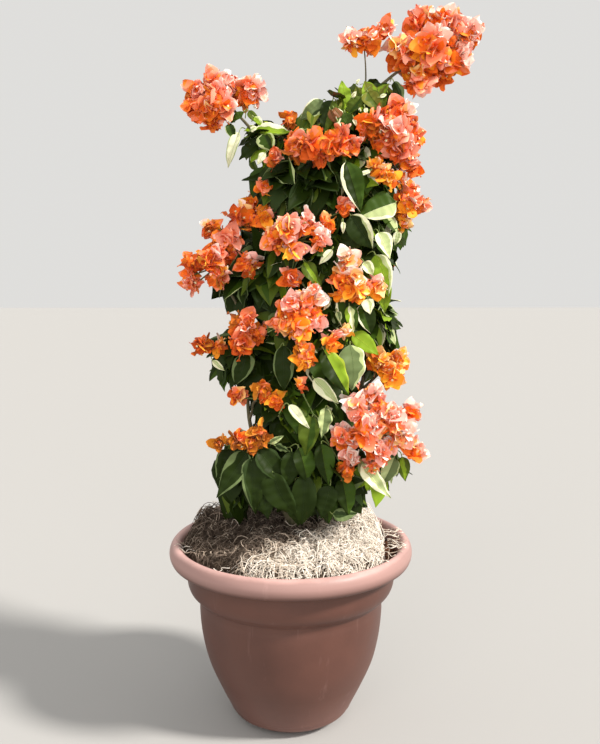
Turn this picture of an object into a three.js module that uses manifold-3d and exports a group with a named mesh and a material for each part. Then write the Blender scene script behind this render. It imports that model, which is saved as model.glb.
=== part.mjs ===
// A potted bougainvillea bush: a narrow, slightly leaning column of drooping variegated leaves with
// papery orange flower heads standing out of it, planted in a round bell-shaped plastic pot with a
// rolled rim, its soil covered by a mound of dried moss.
//
// Millimetres, +Z up. The origin is the centre of the pot's flat underside, -Y is the front.
// Leaves and flower heads are closed uneven masses. Two masses that would run into each other are
// parted by a plane between them, and masses are cut round the stems that run up through them, so
// that every piece is a solid of its own with a hairline gap.
import * as THREE from "three";
import { mergeVertices } from "three/addons/utils/BufferGeometryUtils.js";
import Module from "manifold-3d";

// ---------------------------------------------------------------- driving dimensions
const RIM_R = 254; // outermost radius of the rolled rim, a 20 inch pot
const RIM_Z = 365; // height of the middle of the rolled rim
const RIM_HALF_W = 14; // the roll is an upright oval
const RIM_HALF_H = 21;
const WALL = 4; // pot wall
const FLOOR = 8; // pot floor
const FOOT_R = 88; // radius of the flat underside
const SOIL_Z = 350; // top of the potting mix
const MOSS_R = 213; // mean radius of the moss mound
const GAP = 0.5; // hairline between neighbouring pieces
const LATHE_STEPS = 28;

// Outside of the pot from the underside to the neck below the rim, [radius, height]:
// rounded foot, bell-shaped body, then the raised band under the rim.
const POT_OUTSIDE = [
  [FOOT_R, 0], [102, 5.5], [115, 12.5], [125, 21], [131, 30.5],
  [154, 80], [174.5, 130], [187, 182], [192.3, 235], [192.3, 268],
  [199, 271.5], [211, 284], [217.5, 303], [219.5, 345],
];

// ---------------------------------------------------------------- tools
const wasm = await Module();
wasm.setup();

function seeded(seed) {
  let a = (seed * 2654435761) >>> 0;
  return () => {
    a = (a + 0x6d2b79f5) >>> 0;
    let t = a;
    t = Math.imul(t ^ (t >>> 15), t | 1);
    t ^= t + Math.imul(t ^ (t >>> 7), t | 61);
    return ((t ^ (t >>> 14)) >>> 0) / 4294967296;
  };
}

// A smooth bumpy function of a direction or place, about -1 to 1.
function bumps(seed, waves = 5, pitch = 2.4) {
  const rnd = seeded(seed);
  const set = Array.from({ length: waves }, (_, i) => ({
    k: new THREE.Vector3(rnd() - 0.5, rnd() - 0.5, rnd() - 0.5).normalize().multiplyScalar(pitch * (1 + 0.45 * i)),
    p: rnd() * Math.PI * 2,
    a: 1 / (1 + 0.5 * i),
  }));
  const total = set.reduce((s, w) => s + w.a, 0);
  return (v) => set.reduce((s, w) => s + w.a * Math.sin(w.k.dot(v) + w.p), 0) / total;
}

function bare(geometry) {
  const g = geometry.index ? geometry.toNonIndexed() : geometry.clone();
  return mergeVertices(new THREE.BufferGeometry().setAttribute("position", g.getAttribute("position")), 1e-3);
}

function solid(geometry) {
  const g = bare(geometry);
  const index = [];
  for (let i = 0; i < g.index.count; i += 3) {
    const t = [g.index.getX(i), g.index.getX(i + 1), g.index.getX(i + 2)];
    if (t[0] !== t[1] && t[1] !== t[2] && t[0] !== t[2]) index.push(...t);
  }
  return new wasm.Manifold(
    new wasm.Mesh({ numProp: 3, vertProperties: g.attributes.position.array, triVerts: new Uint32Array(index) }),
  );
}

// The largest single body of a cut solid, with edges shorter than an eighth of a millimetre cleaned off.
function main(made) {
  const clean = made.simplify(0.12);
  const bodies = clean.decompose().sort((a, b) => b.volume() - a.volume());
  return bodies[0];
}

function geometryOf(made) {
  const m = made.getMesh();
  const v = new Float32Array(m.numVert * 3);
  for (let i = 0; i < m.numVert; i++) v.set(m.vertProperties.subarray(i * m.numProp, i * m.numProp + 3), i * 3);
  const g = new THREE.BufferGeometry();
  g.setAttribute("position", new THREE.BufferAttribute(v, 3));
  g.setIndex(new THREE.BufferAttribute(new Uint32Array(m.triVerts), 1));
  g.computeVertexNormals();
  return g;
}

// ---------------------------------------------------------------- pot, soil and moss
function lathe(profile) {
  const g = new THREE.LatheGeometry(profile.map(([r, z]) => new THREE.Vector2(r, z)), LATHE_STEPS);
  return g.rotateX(Math.PI / 2);
}

function rimArc(from, to, steps) {
  return Array.from({ length: steps + 1 }, (_, i) => {
    const a = THREE.MathUtils.degToRad(from + ((to - from) * i) / steps);
    return [RIM_R - RIM_HALF_W + RIM_HALF_W * Math.cos(a), RIM_Z + RIM_HALF_H * Math.sin(a)];
  });
}

// The inner wall runs a wall's thickness inside the body and stops at the floor.
const POT_INSIDE = POT_OUTSIDE.filter((_, i) => [3, 5, 7, 9, 10, 12, 13].includes(i))
  .map(([r, z]) => [r - WALL * 1.05, z < 60 ? z + 1.5 : z - 1.5])
  .reverse();

function potGeometry() {
  return lathe([
    [0, 0], ...POT_OUTSIDE, ...rimArc(-72, 180, 6), [RIM_R - 2 * RIM_HALF_W - 2.5, 349],
    ...POT_INSIDE.slice(1), [106, FLOOR + 5], [96, FLOOR], [0, FLOOR],
  ]);
}

function soilGeometry() {
  const inside = POT_INSIDE.slice(1).reverse().map(([r, z]) => [r - 0.9, z]);
  return lathe([[0, FLOOR + 0.6], [94.8, FLOOR + 0.6], [104.8, FLOOR + 5.5], ...inside, [RIM_R - 2 * RIM_HALF_W - 10, SOIL_Z - 6], [212, SOIL_Z], [0, SOIL_Z]]);
}

// Height of the moss over the rim plane: a low dome that swells at the left and at the back right.
function mossTop(x, y, wobble) {
  const r = Math.hypot(x, y) / MOSS_R;
  const swell = (cx, cy, s, h) => h * Math.exp(-((x - cx) ** 2 + (y - cy) ** 2) / (2 * s * s));
  return 378 + 30 * (1 - r * r) + swell(-160, 50, 52, 30) + swell(140, 80, 55, 34) + swell(40, 150, 60, 16) + 5 * wobble(new THREE.Vector3(x / 40, y / 40, 0));
}

// The mound stops short of the wall at the right, where the soil shows.
function mossEdge(angle, wobble) {
  const bare = 20 * Math.exp(-(((angle + 0.1) / 0.42) ** 2));
  return MOSS_R - bare + 4 * wobble(new THREE.Vector3(Math.cos(angle) * 2, Math.sin(angle) * 2, 3));
}

function mossGeometry() {
  const wobble = bumps(11, 5, 1.2), sectors = 24, rings = [0.4, 0.74, 1];
  const v = [], low = SOIL_Z + 0.6;
  v.push(0, 0, mossTop(0, 0, wobble));
  for (const k of rings)
    for (let i = 0; i < sectors; i++) {
      const a = (i / sectors) * Math.PI * 2, wrapped = a > Math.PI ? a - 2 * Math.PI : a;
      const r = k * mossEdge(wrapped, wobble), x = r * Math.cos(a), y = r * Math.sin(a);
      v.push(x, y, k === 1 ? Math.min(mossTop(x, y, wobble) - 12, 384) : mossTop(x, y, wobble));
    }
  const skirt = v.length / 3;
  for (let i = 0; i < sectors; i++) {
    const a = (i / sectors) * Math.PI * 2, wrapped = a > Math.PI ? a - 2 * Math.PI : a;
    const r = Math.min(mossEdge(wrapped, wobble) - 3, 208);
    v.push(r * Math.cos(a), r * Math.sin(a), low);
  }
  const foot = v.length / 3;
  v.push(0, 0, low);
  const at = (ring, i) => 1 + ring * sectors + (i % sectors), t = [];
  for (let i = 0; i < sectors; i++) {
    t.push(0, at(0, i), at(0, i + 1));
    for (let k = 0; k < rings.length; k++) {
      const a = at(k, i), b = at(k, i + 1);
      const c = k === rings.length - 1 ? skirt + i : at(k + 1, i), d = k === rings.length - 1 ? skirt + ((i + 1) % sectors) : at(k + 1, i + 1);
      t.push(a, c, d, a, d, b);
    }
    t.push(foot, skirt + ((i + 1) % sectors), skirt + i);
  }
  const g = new THREE.BufferGeometry();
  g.setAttribute("position", new THREE.Float32BufferAttribute(v, 3));
  g.setIndex(t);
  return g;
}

// ---------------------------------------------------------------- stems
// Each limb tapers along a smooth curve through a few stations. Stems stand in the soil and run up
// inside the foliage. Boughs show only where they cross from one mass to the next. flare widens the
// root of the main stem.
const STEMS = [
  { name: "main_stem", via: [[0, 5, SOIL_Z + 0.6], [6, 8, 470], [14, 14, 640], [40, 22, 830], [62, 24, 1010], [78, 22, 1170]], base: 16, tip: 6, flare: 9, sides: 7, steps: 10 },
  { name: "left_cane", via: [[4, 6, 405], [-48, -8, 520], [-84, -20, 640], [-88, -14, 760]], base: 7.5, tip: 4.5, sides: 5, steps: 6 },
  { name: "right_cane", via: [[6, 8, 420], [66, 4, 540], [138, -4, 680], [164, 4, 850]], base: 8.5, tip: 5, sides: 5, steps: 6 },
];
const BOUGHS = [
  { name: "left_arm", via: [[-40, -6, 1180], [-76, -4, 1222], [-130, -2, 1280]], base: 6.5, tip: 4, sides: 6, steps: 5 },
  { name: "top_arm", via: [[110, 14, 1230], [160, 8, 1290], [200, 4, 1326], [262, 0, 1368]], base: 7, tip: 4, sides: 6, steps: 7 },
  { name: "top_twig", via: [[146, 8, 1270], [149, 4, 1325], [144, 0, 1395]], base: 4, tip: 3, sides: 6, steps: 4 },
  { name: "left_lower_arm", via: [[-60, -12, 760], [-110, -32, 780], [-170, -50, 804]], base: 5, tip: 3.5, sides: 6, steps: 5 },
  { name: "low_left_arm", via: [[0, -12, 566], [-50, -66, 608], [-96, -116, 640]], base: 5.5, tip: 4, sides: 6, steps: 5 },
  { name: "low_right_arm", via: [[50, -36, 540], [100, -74, 590], [160, -116, 640]], base: 7, tip: 4.5, sides: 6, steps: 4 },
];

function limbGeometry(limb, grow = 0) {
  const curve = new THREE.CatmullRomCurve3(limb.via.map((p) => new THREE.Vector3(...p)));
  const g = new THREE.CylinderGeometry(1, 1, 1, limb.sides, limb.steps);
  const frames = curve.computeFrenetFrames(limb.steps, false);
  const p = g.getAttribute("position"), v = new THREE.Vector3();
  for (let i = 0; i < p.count; i++) {
    v.fromBufferAttribute(p, i);
    const t = v.y + 0.5, k = Math.round(t * limb.steps);
    const r = THREE.MathUtils.lerp(limb.base, limb.tip, t) + (limb.flare || 0) * Math.exp(-t * 22) + grow;
    const c = curve.getPointAt(k / limb.steps);
    if (k === 0 && limb.flare) c.z -= grow;
    else if (k === 0) c.addScaledVector(frames.tangents[0], -grow);
    else if (k === limb.steps) c.addScaledVector(frames.tangents[k], grow);
    // the root's cut is level
    const side = limb.flare && k === 0 ? new THREE.Vector3(1, 0, 0) : frames.normals[k];
    const across = limb.flare && k === 0 ? new THREE.Vector3(0, 1, 0) : frames.binormals[k];
    c.addScaledVector(side, v.x * r).addScaledVector(across, -v.z * r);
    p.setXYZ(i, c.x, c.y, c.z);
  }
  return g;
}

// ---------------------------------------------------------------- leaf masses and flower heads
// centre and half sizes along X, Y and Z; fine gives a rounder surface to the ones on the outline.
const HEADS = [
  { name: "bloom_top", centre: [273, 0, 1376], half: [97, 76, 86], seed: 21, fine: true },
  { name: "bloom_top_left", centre: [158, -4, 1402], half: [56, 42, 40], seed: 22 },
  { name: "bloom_left_arm", centre: [-131, 0, 1282], half: [82, 66, 62], seed: 23, fine: true },
  { name: "bloom_upper_front", centre: [53, -108, 1166], half: [78, 46, 44], seed: 24 },
  { name: "bloom_upper_right", centre: [191, -58, 1201], half: [64, 62, 76], seed: 25 },
  { name: "bloom_right", centre: [233, -10, 1070], half: [42, 46, 60], seed: 26 },
  { name: "bloom_left_middle", centre: [-146, -50, 960], half: [80, 60, 68], seed: 27 },
  { name: "bloom_left_upper", centre: [-106, -24, 1045], half: [70, 48, 36], seed: 28 },
  { name: "bloom_centre", centre: [15, -120, 1013], half: [72, 50, 48], seed: 29 },
  { name: "bloom_centre_right", centre: [124, -116, 939], half: [62, 48, 58], seed: 30 },
  { name: "bloom_centre_low", centre: [15, -124, 872], half: [68, 52, 60], seed: 31 },
  { name: "bloom_left_low", centre: [-90, -76, 830], half: [52, 48, 50], seed: 32 },
  { name: "bloom_far_left", centre: [-171, -50, 806], half: [34, 34, 28], seed: 33 },
  { name: "bloom_low_pair", centre: [-46, -108, 712], half: [38, 36, 32], seed: 34 },
  { name: "bloom_low_left", centre: [-93, -114, 640], half: [62, 40, 32], seed: 35 },
  { name: "bloom_right_small", centre: [191, -60, 756], half: [48, 44, 48], seed: 36 },
  { name: "bloom_low_right", centre: [164, -118, 652], half: [104, 74, 86], seed: 37 },
  { name: "bloom_back_top", centre: [60, 128, 1206], half: [76, 52, 60], seed: 38 },
  { name: "bloom_back_left", centre: [-76, 98, 1056], half: [60, 56, 50], seed: 39 },
  { name: "bloom_back_right", centre: [186, 88, 962], half: [60, 56, 54], seed: 40 },
  { name: "bloom_back_middle", centre: [46, 164, 930], half: [74, 50, 58], seed: 41 },
  { name: "bloom_back_low", centre: [-62, 144, 742], half: [64, 54, 50], seed: 42 },
  { name: "bloom_back_low_right", centre: [136, 112, 668], half: [60, 56, 50], seed: 43 },
];

const MASSES = [
  { name: "leaves_skirt_left", centre: [-67, -38, 532], half: [90, 84, 100], seed: 51 },
  { name: "leaves_skirt_right", centre: [60, -38, 522], half: [74, 80, 98], seed: 52 },
  { name: "leaves_lower_left", centre: [-84, 0, 764], half: [60, 64, 64], seed: 53 },
  { name: "leaves_lower", centre: [24, -26, 676], half: [108, 86, 92], seed: 54 },
  { name: "leaves_side_right_low", centre: [142, 6, 828], half: [54, 70, 98], seed: 55 },
  { name: "leaves_middle", centre: [54, -24, 828], half: [112, 92, 96], seed: 56 },
  { name: "leaves_side_left", centre: [-58, 12, 930], half: [80, 76, 84], seed: 57 },
  { name: "leaves_side_right_high", centre: [160, 4, 1008], half: [54, 68, 98], seed: 58 },
  { name: "leaves_middle_upper", centre: [56, -24, 962], half: [116, 92, 88], seed: 59 },
  { name: "leaves_upper_right", centre: [140, -10, 1120], half: [66, 76, 78], seed: 60 },
  { name: "leaves_upper", centre: [36, -20, 1106], half: [108, 84, 84], seed: 61 },
  { name: "leaves_left_arm", centre: [-48, -10, 1186], half: [56, 44, 42], seed: 62 },
  { name: "leaves_crown_right", centre: [148, 0, 1262], half: [62, 58, 56], seed: 63 },
  { name: "leaves_crown", centre: [74, -8, 1236], half: [80, 72, 64], seed: 64 },
  { name: "leaves_low_right", centre: [182, -80, 548], half: [52, 46, 48], seed: 65 },
  { name: "leaves_back_skirt", centre: [-2, 72, 520], half: [118, 80, 108], seed: 66 },
  { name: "leaves_back_lower", centre: [26, 76, 676], half: [112, 84, 106], seed: 67 },
  { name: "leaves_back_middle", centre: [52, 80, 842], half: [124, 84, 110], seed: 68 },
  { name: "leaves_back_upper", centre: [70, 78, 1014], half: [122, 84, 112], seed: 69 },
  { name: "leaves_back_top", centre: [84, 62, 1182], half: [112, 76, 98], seed: 70 },
];

const ROUGHNESS = 0.13; // depth of the lumps, as a share of the radius

function massGeometry(mass) {
  const g = bare(new THREE.IcosahedronGeometry(1, mass.fine ? 2 : 1));
  const lump = bumps(mass.seed, 5, 2.6), p = g.getAttribute("position"), v = new THREE.Vector3();
  for (let i = 0; i < p.count; i++) {
    v.fromBufferAttribute(p, i).normalize();
    const s = 1 + ROUGHNESS * lump(v) - (mass.fine ? 0.2 : 0) * ROUGHNESS;
    p.setXYZ(i, mass.centre[0] + v.x * mass.half[0] * s, mass.centre[1] + v.y * mass.half[1] * s, mass.centre[2] + v.z * mass.half[2] * s);
  }
  return g;
}

// Everything on the far side of a plane through a point, as a block to cut away.
function beyond(point, normal) {
  const size = 900;
  const turn = new THREE.Quaternion().setFromUnitVectors(new THREE.Vector3(0, 0, 1), normal);
  return solid(new THREE.BoxGeometry(size, size, size).translate(0, 0, size / 2).applyQuaternion(turn).translate(point.x, point.y, point.z));
}

// Parts every pair that meets by a plane across the line of their centres, nearer the smaller one.
function part(list) {
  const made = list.map((m) => solid(massGeometry(m)));
  const whole = [...made];
  for (let i = 0; i < list.length; i++)
    for (let j = i + 1; j < list.length; j++) {
      if (whole[i].intersect(whole[j]).volume() < 1) continue;
      const a = new THREE.Vector3(...list[i].centre), b = new THREE.Vector3(...list[j].centre);
      const d = b.clone().sub(a), span = d.length();
      d.normalize();
      const reach = (m) => 1 / Math.hypot(d.x / m.half[0], d.y / m.half[1], d.z / m.half[2]);
      const ra = reach(list[i]), rb = reach(list[j]);
      const at = (span * ra) / (ra + rb);
      made[i] = made[i].subtract(beyond(a.clone().addScaledVector(d, at - GAP / 2), d));
      made[j] = made[j].subtract(beyond(a.clone().addScaledVector(d, at + GAP / 2), d.clone().negate()));
    }
  return made;
}

// ---------------------------------------------------------------- assembly
const FINISH = {
  pot: { color: 0x8a5f50, roughness: 0.55 },
  soil: { color: 0x2e2019, roughness: 0.95 },
  moss: { color: 0xb9a58c, roughness: 0.95 },
  bark: { color: 0x7a6a50, roughness: 0.85 },
  leaf: { color: 0x35521f, roughness: 0.5 },
  bract: { color: 0xf0703a, roughness: 0.7 },
};
const bush = new THREE.Group();
bush.name = "potted_bougainvillea";

function add(name, made, finish) {
  const mesh = new THREE.Mesh(geometryOf(made), new THREE.MeshStandardMaterial({ ...FINISH[finish], metalness: 0 }));
  mesh.name = name;
  bush.add(mesh);
}

add("pot", solid(potGeometry()), "pot");
add("soil", solid(soilGeometry()), "soil");

const grownStems = [];
for (const stem of STEMS) {
  let made = solid(limbGeometry(stem));
  for (const other of grownStems) made = made.subtract(other);
  add(stem.name, main(made), "bark");
  grownStems.push(solid(limbGeometry(stem, GAP)));
}

let moss = solid(mossGeometry());
for (const stem of grownStems) moss = moss.subtract(stem);
add("moss", main(moss), "moss");

const mossCutter = solid(mossGeometry().translate(0, 0, GAP));
const all = [...HEADS, ...MASSES];
const masses = part(all).map((made) => {
  for (const stem of grownStems) made = made.subtract(stem);
  return main(made.subtract(mossCutter));
});
all.forEach((m, i) => add(m.name, masses[i], i < HEADS.length ? "bract" : "leaf"));

// A bough is what is left of the limb between the masses it joins.
const swollen = all.map((m, i) => masses[i].add(masses[i].translate(0, 0, GAP)).add(masses[i].translate(0, 0, -GAP)).add(masses[i].translate(GAP, 0, 0)).add(masses[i].translate(-GAP, 0, 0)).add(masses[i].translate(0, GAP, 0)).add(masses[i].translate(0, -GAP, 0)));
for (const bough of BOUGHS) {
  let made = solid(limbGeometry(bough));
  for (const stem of grownStems) made = made.subtract(stem);
  for (const mass of swollen) made = made.subtract(mass);
  add(bough.name, main(made), "bark");
}

export default bush;
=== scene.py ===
import math

import bpy
import numpy as np
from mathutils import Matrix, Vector


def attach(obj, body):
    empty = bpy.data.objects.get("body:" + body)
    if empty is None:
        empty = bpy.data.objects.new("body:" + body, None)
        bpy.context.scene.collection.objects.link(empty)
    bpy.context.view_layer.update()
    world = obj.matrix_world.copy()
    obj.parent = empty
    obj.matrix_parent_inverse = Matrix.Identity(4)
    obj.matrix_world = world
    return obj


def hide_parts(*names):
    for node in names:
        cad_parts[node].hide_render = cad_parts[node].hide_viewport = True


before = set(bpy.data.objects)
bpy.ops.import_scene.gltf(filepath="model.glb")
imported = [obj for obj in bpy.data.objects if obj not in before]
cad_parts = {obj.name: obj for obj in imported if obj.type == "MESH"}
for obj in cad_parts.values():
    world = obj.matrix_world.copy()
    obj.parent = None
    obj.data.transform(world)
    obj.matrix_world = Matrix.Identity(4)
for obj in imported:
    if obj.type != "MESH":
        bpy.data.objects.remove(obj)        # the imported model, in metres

# A potted bougainvillea bush. Everything is in metres in the model's own frame: the origin is the
# centre of the pot's underside, +Z is up, -Y is the front.

# ------------------------------------------------------------------ camera
cam_data = bpy.data.cameras.new("camera")
cam_data.sensor_width = 36.0
cam_data.lens = 42.25            # for an upright frame of 600 by 744
cam_data.clip_end = 60
camera = bpy.data.objects.new("camera", cam_data)
camera.location = (0.0, -1.77884, 0.98143)
camera.rotation_euler = (math.radians(82.2256), 0.0, math.radians(-0.6192))
bpy.context.scene.collection.objects.link(camera)
bpy.context.scene.camera = camera
bpy.context.scene.view_settings.view_transform = "Standard"

# ------------------------------------------------------------------ small tools
UP = np.array([0.0, 0.0, 1.0])


def unit(v):
    v = np.asarray(v, float)
    return v / np.maximum(np.linalg.norm(v, axis=-1, keepdims=True), 1e-9)


def smooth(a, b, x):
    t = np.clip((x - a) / (b - a), 0, 1)
    return t * t * (3 - 2 * t)


class Waves:
    """A smooth seeded bumpy function of place, about -1 to 1."""

    def __init__(self, seed, pitch, n=7, spread=1.2):
        r = np.random.default_rng(seed)
        self.k = unit(r.normal(size=(n, 3))) * (2 * math.pi / pitch) * (0.6 + spread * r.random((n, 1)))
        self.p = r.random(n) * 2 * math.pi
        self.a = 1 / (1 + 0.35 * np.arange(n))

    def __call__(self, p):
        p = np.asarray(p, float)
        return (np.sin(p @ self.k.T + self.p) * self.a).sum(-1) / self.a.sum() * 1.6


def material(name, colour, rough=0.6, build=None, specular=0.5, sheen=0.0, coat=0.0, subsurface=0.0):
    m = bpy.data.materials.new(name)
    m.use_nodes = True
    nt = m.node_tree
    p = next(n for n in nt.nodes if n.type == "BSDF_PRINCIPLED")
    p.inputs["Base Color"].default_value = (*colour, 1)
    p.inputs["Roughness"].default_value = rough
    p.inputs["Specular IOR Level"].default_value = specular
    p.inputs["Sheen Weight"].default_value = sheen
    p.inputs["Coat Weight"].default_value = coat
    if build:
        build(nt, p)
    return m


def node(nt, kind, **sets):
    n = nt.nodes.new(kind)
    for k, v in sets.items():
        if k in ("ins",):
            for i, x in v.items():
                n.inputs[i].default_value = x
        else:
            setattr(n, k, v)
    return n


def mesh_object(name, verts, faces, mats, face_mats=None, smooth_shade=True):
    """faces: one array (n, 3 or 4) or a list of such arrays, in one index space."""
    groups = faces if isinstance(faces, list) else [faces]
    groups = [np.asarray(g, np.int32) for g in groups if len(g)]
    me = bpy.data.meshes.new(name)
    verts = np.asarray(verts, np.float32)
    me.vertices.add(len(verts))
    me.vertices.foreach_set("co", verts.ravel())
    loops = np.concatenate([g.ravel() for g in groups])
    totals = np.concatenate([np.full(len(g), g.shape[1], np.int32) for g in groups])
    starts = np.concatenate([[0], np.cumsum(totals)[:-1]]).astype(np.int32)
    me.loops.add(len(loops))
    me.loops.foreach_set("vertex_index", loops)
    me.polygons.add(len(totals))
    me.polygons.foreach_set("loop_start", starts)
    me.polygons.foreach_set("loop_total", totals)
    for m in mats:
        me.materials.append(m)
    if face_mats is not None:
        me.polygons.foreach_set("material_index", np.asarray(face_mats, np.int32))
    me.polygons.foreach_set("use_smooth", np.full(len(totals), smooth_shade))
    me.update(calc_edges=True)
    me.validate()
    o = bpy.data.objects.new(name, me)
    bpy.context.scene.collection.objects.link(o)
    return o


class Bag:
    """Collects many small meshes into one."""

    def __init__(self):
        self.v, self.f3, self.f4, self.m3, self.m4, self.n = [], [], [], [], [], 0

    def add(self, verts, faces, mats):
        verts = np.asarray(verts, float).reshape(-1, 3)
        faces = np.asarray(faces)
        mats = np.broadcast_to(np.asarray(mats), (len(faces),))
        (self.f3 if faces.shape[1] == 3 else self.f4).append(faces + self.n)
        (self.m3 if faces.shape[1] == 3 else self.m4).append(mats)
        self.v.append(verts)
        self.n += len(verts)

    def extend_faces(self, faces, mats, offset):
        faces = np.asarray(faces)
        mats = np.broadcast_to(np.asarray(mats), (len(faces),))
        (self.f3 if faces.shape[1] == 3 else self.f4).append(faces + offset)
        (self.m3 if faces.shape[1] == 3 else self.m4).append(mats)

    def build(self, name, mats, smooth_shade=True):
        g, fm = [], []
        if self.f3:
            g.append(np.concatenate(self.f3)); fm.append(np.concatenate(self.m3))
        if self.f4:
            g.append(np.concatenate(self.f4)); fm.append(np.concatenate(self.m4))
        return mesh_object(name, np.concatenate(self.v), g, mats, np.concatenate(fm), smooth_shade)

    def triangles(self):
        return sum(len(f) for f in self.f3) + 2 * sum(len(f) for f in self.f4)


def grid_faces(rows, cols, wrap=False):
    """Quads of a rows by cols grid of points; wrap closes each row."""
    r = np.arange(rows - 1)[:, None]
    c = np.arange(cols if wrap else cols - 1)[None, :]
    a = r * cols + c
    b = r * cols + (c + 1) % cols
    return np.stack([a, b, b + cols, a + cols], -1).reshape(-1, 4)


def tubes(paths, radii, sides=5, relief=None):
    """Tubes along paths (n, k, 3) with radii (n, k). Ends are closed by their last ring's centre."""
    P = np.asarray(paths, float)
    n, k, _ = P.shape
    R = np.broadcast_to(np.asarray(radii, float), (n, k))
    T = unit(np.gradient(P, axis=1))
    mean = unit(T.mean(1))
    ref = np.eye(3)[np.argmin(np.abs(mean), axis=1)][:, None, :]
    A = unit(np.cross(T, np.broadcast_to(ref, T.shape)))
    B = np.cross(T, A)
    ang = np.arange(sides) / sides * 2 * math.pi
    rr = R[:, :, None] * np.ones(sides)
    if relief is not None:
        rr = rr * relief
    V = P[:, :, None, :] + rr[..., None] * (np.cos(ang)[None, None, :, None] * A[:, :, None, :] + np.sin(ang)[None, None, :, None] * B[:, :, None, :])
    V = V.reshape(n, k * sides, 3)
    ends = P[:, [0, -1], :]
    allv = np.concatenate([V, ends], 1)
    side = grid_faces(k, sides, wrap=True)
    i = np.arange(sides)
    j = (i + 1) % sides
    cap0 = np.stack([np.full(sides, k * sides), j, i], -1)
    cap1 = np.stack([np.full(sides, k * sides + 1), (k - 1) * sides + i, (k - 1) * sides + j], -1)
    per = k * sides + 2
    off = (np.arange(n) * per)[:, None, None]
    return allv.reshape(-1, 3), (side[None] + off).reshape(-1, 4), (np.concatenate([cap0, cap1])[None] + off).reshape(-1, 3)


def add_tubes(bag, paths, radii, sides=5, mat=0, relief=None):
    v, f4, f3 = tubes(paths, radii, sides, relief)
    at = bag.n
    n = np.asarray(paths).shape[0]
    m = np.asarray(mat)
    m4 = m if m.ndim == 0 else np.repeat(m, len(f4) // n)
    m3 = m if m.ndim == 0 else np.repeat(m, len(f3) // n)
    bag.add(v, f4, m4)
    bag.extend_faces(f3, m3, at)


def catmull(points, n):
    """Centripetal Catmull-Rom through points, n + 1 places evenly spaced along its length."""
    p = np.asarray(points, float)
    p = np.vstack([2 * p[0] - p[1], p, 2 * p[-1] - p[-2]])
    out = []
    for i in range(1, len(p) - 2):
        p0, p1, p2, p3 = p[i - 1:i + 3]
        d0, d1, d2 = [max(np.linalg.norm(b - a) ** 0.5, 1e-4) for a, b in ((p0, p1), (p1, p2), (p2, p3))]
        t1 = ((p1 - p0) / d0 - (p2 - p0) / (d0 + d1) + (p2 - p1) / d1) * d1
        t2 = ((p2 - p1) / d1 - (p3 - p1) / (d1 + d2) + (p3 - p2) / d2) * d1
        t = np.linspace(0, 1, 41)[:, None][(0 if i == 1 else 1):]
        c2, c3 = -3 * p1 + 3 * p2 - 2 * t1 - t2, 2 * p1 - 2 * p2 + t1 + t2
        out.append(p1 + t1 * t + c2 * t * t + c3 * t ** 3)
    c = np.vstack(out)
    s = np.concatenate([[0], np.cumsum(np.linalg.norm(np.diff(c, axis=0), axis=1))])
    want = np.linspace(0, s[-1], n + 1)
    return np.stack([np.interp(want, s, c[:, a]) for a in range(3)], -1)


def bezier(p0, p1, p2, p3, n):
    """Cubic curves for arrays of control points, n + 1 places each: (m, n + 1, 3)."""
    t = np.linspace(0, 1, n + 1)[None, :, None]
    p0, p1, p2, p3 = [np.atleast_2d(p)[:, None, :] for p in (p0, p1, p2, p3)]
    return (1 - t) ** 3 * p0 + 3 * (1 - t) ** 2 * t * p1 + 3 * (1 - t) * t * t * p2 + t ** 3 * p3


def sphere_dirs(n, rng, jitter=0.35):
    i = np.arange(n) + 0.5
    z = 1 - 2 * i / n
    a = i * math.pi * (3 - math.sqrt(5)) + rng.random() * 6.28
    r = np.sqrt(np.maximum(0, 1 - z * z))
    d = np.stack([r * np.cos(a), r * np.sin(a), z], -1)
    return unit(d + rng.normal(size=(n, 3)) * jitter / math.sqrt(n) * 2)


# ------------------------------------------------------------------ sizes shared with the solids
SOIL_Z = 0.350
RIM_R, RIM_Z, RIM_HALF_W, RIM_HALF_H = 0.254, 0.365, 0.014, 0.021
STEMS = {
    "main_stem": ([(0, 5, 350.6), (6, 8, 470), (14, 14, 640), (40, 22, 830), (62, 24, 1010), (78, 22, 1170)], 16, 6, 9),
    "left_cane": ([(4, 6, 405), (-48, -8, 520), (-84, -20, 640), (-88, -14, 760)], 7.5, 4.5, 0),
    "right_cane": ([(6, 8, 420), (66, 4, 540), (138, -4, 680), (164, 4, 850)], 8.5, 5, 0),
}
BOUGHS = {
    "left_arm": ([(-40, -6, 1180), (-76, -4, 1222), (-130, -2, 1280)], 6.5, 4),
    "top_arm": ([(110, 14, 1230), (160, 8, 1290), (200, 4, 1326), (262, 0, 1368)], 7, 4),
    "top_twig": ([(146, 8, 1270), (149, 4, 1325), (144, 0, 1395)], 4, 3),
    "left_lower_arm": ([(-60, -12, 760), (-110, -32, 780), (-170, -50, 804)], 5, 3.5),
    "low_left_arm": ([(0, -12, 566), (-50, -66, 608), (-96, -116, 640)], 5.5, 4),
    "low_right_arm": ([(50, -36, 540), (100, -74, 590), (160, -116, 640)], 7, 4.5),
}

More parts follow.
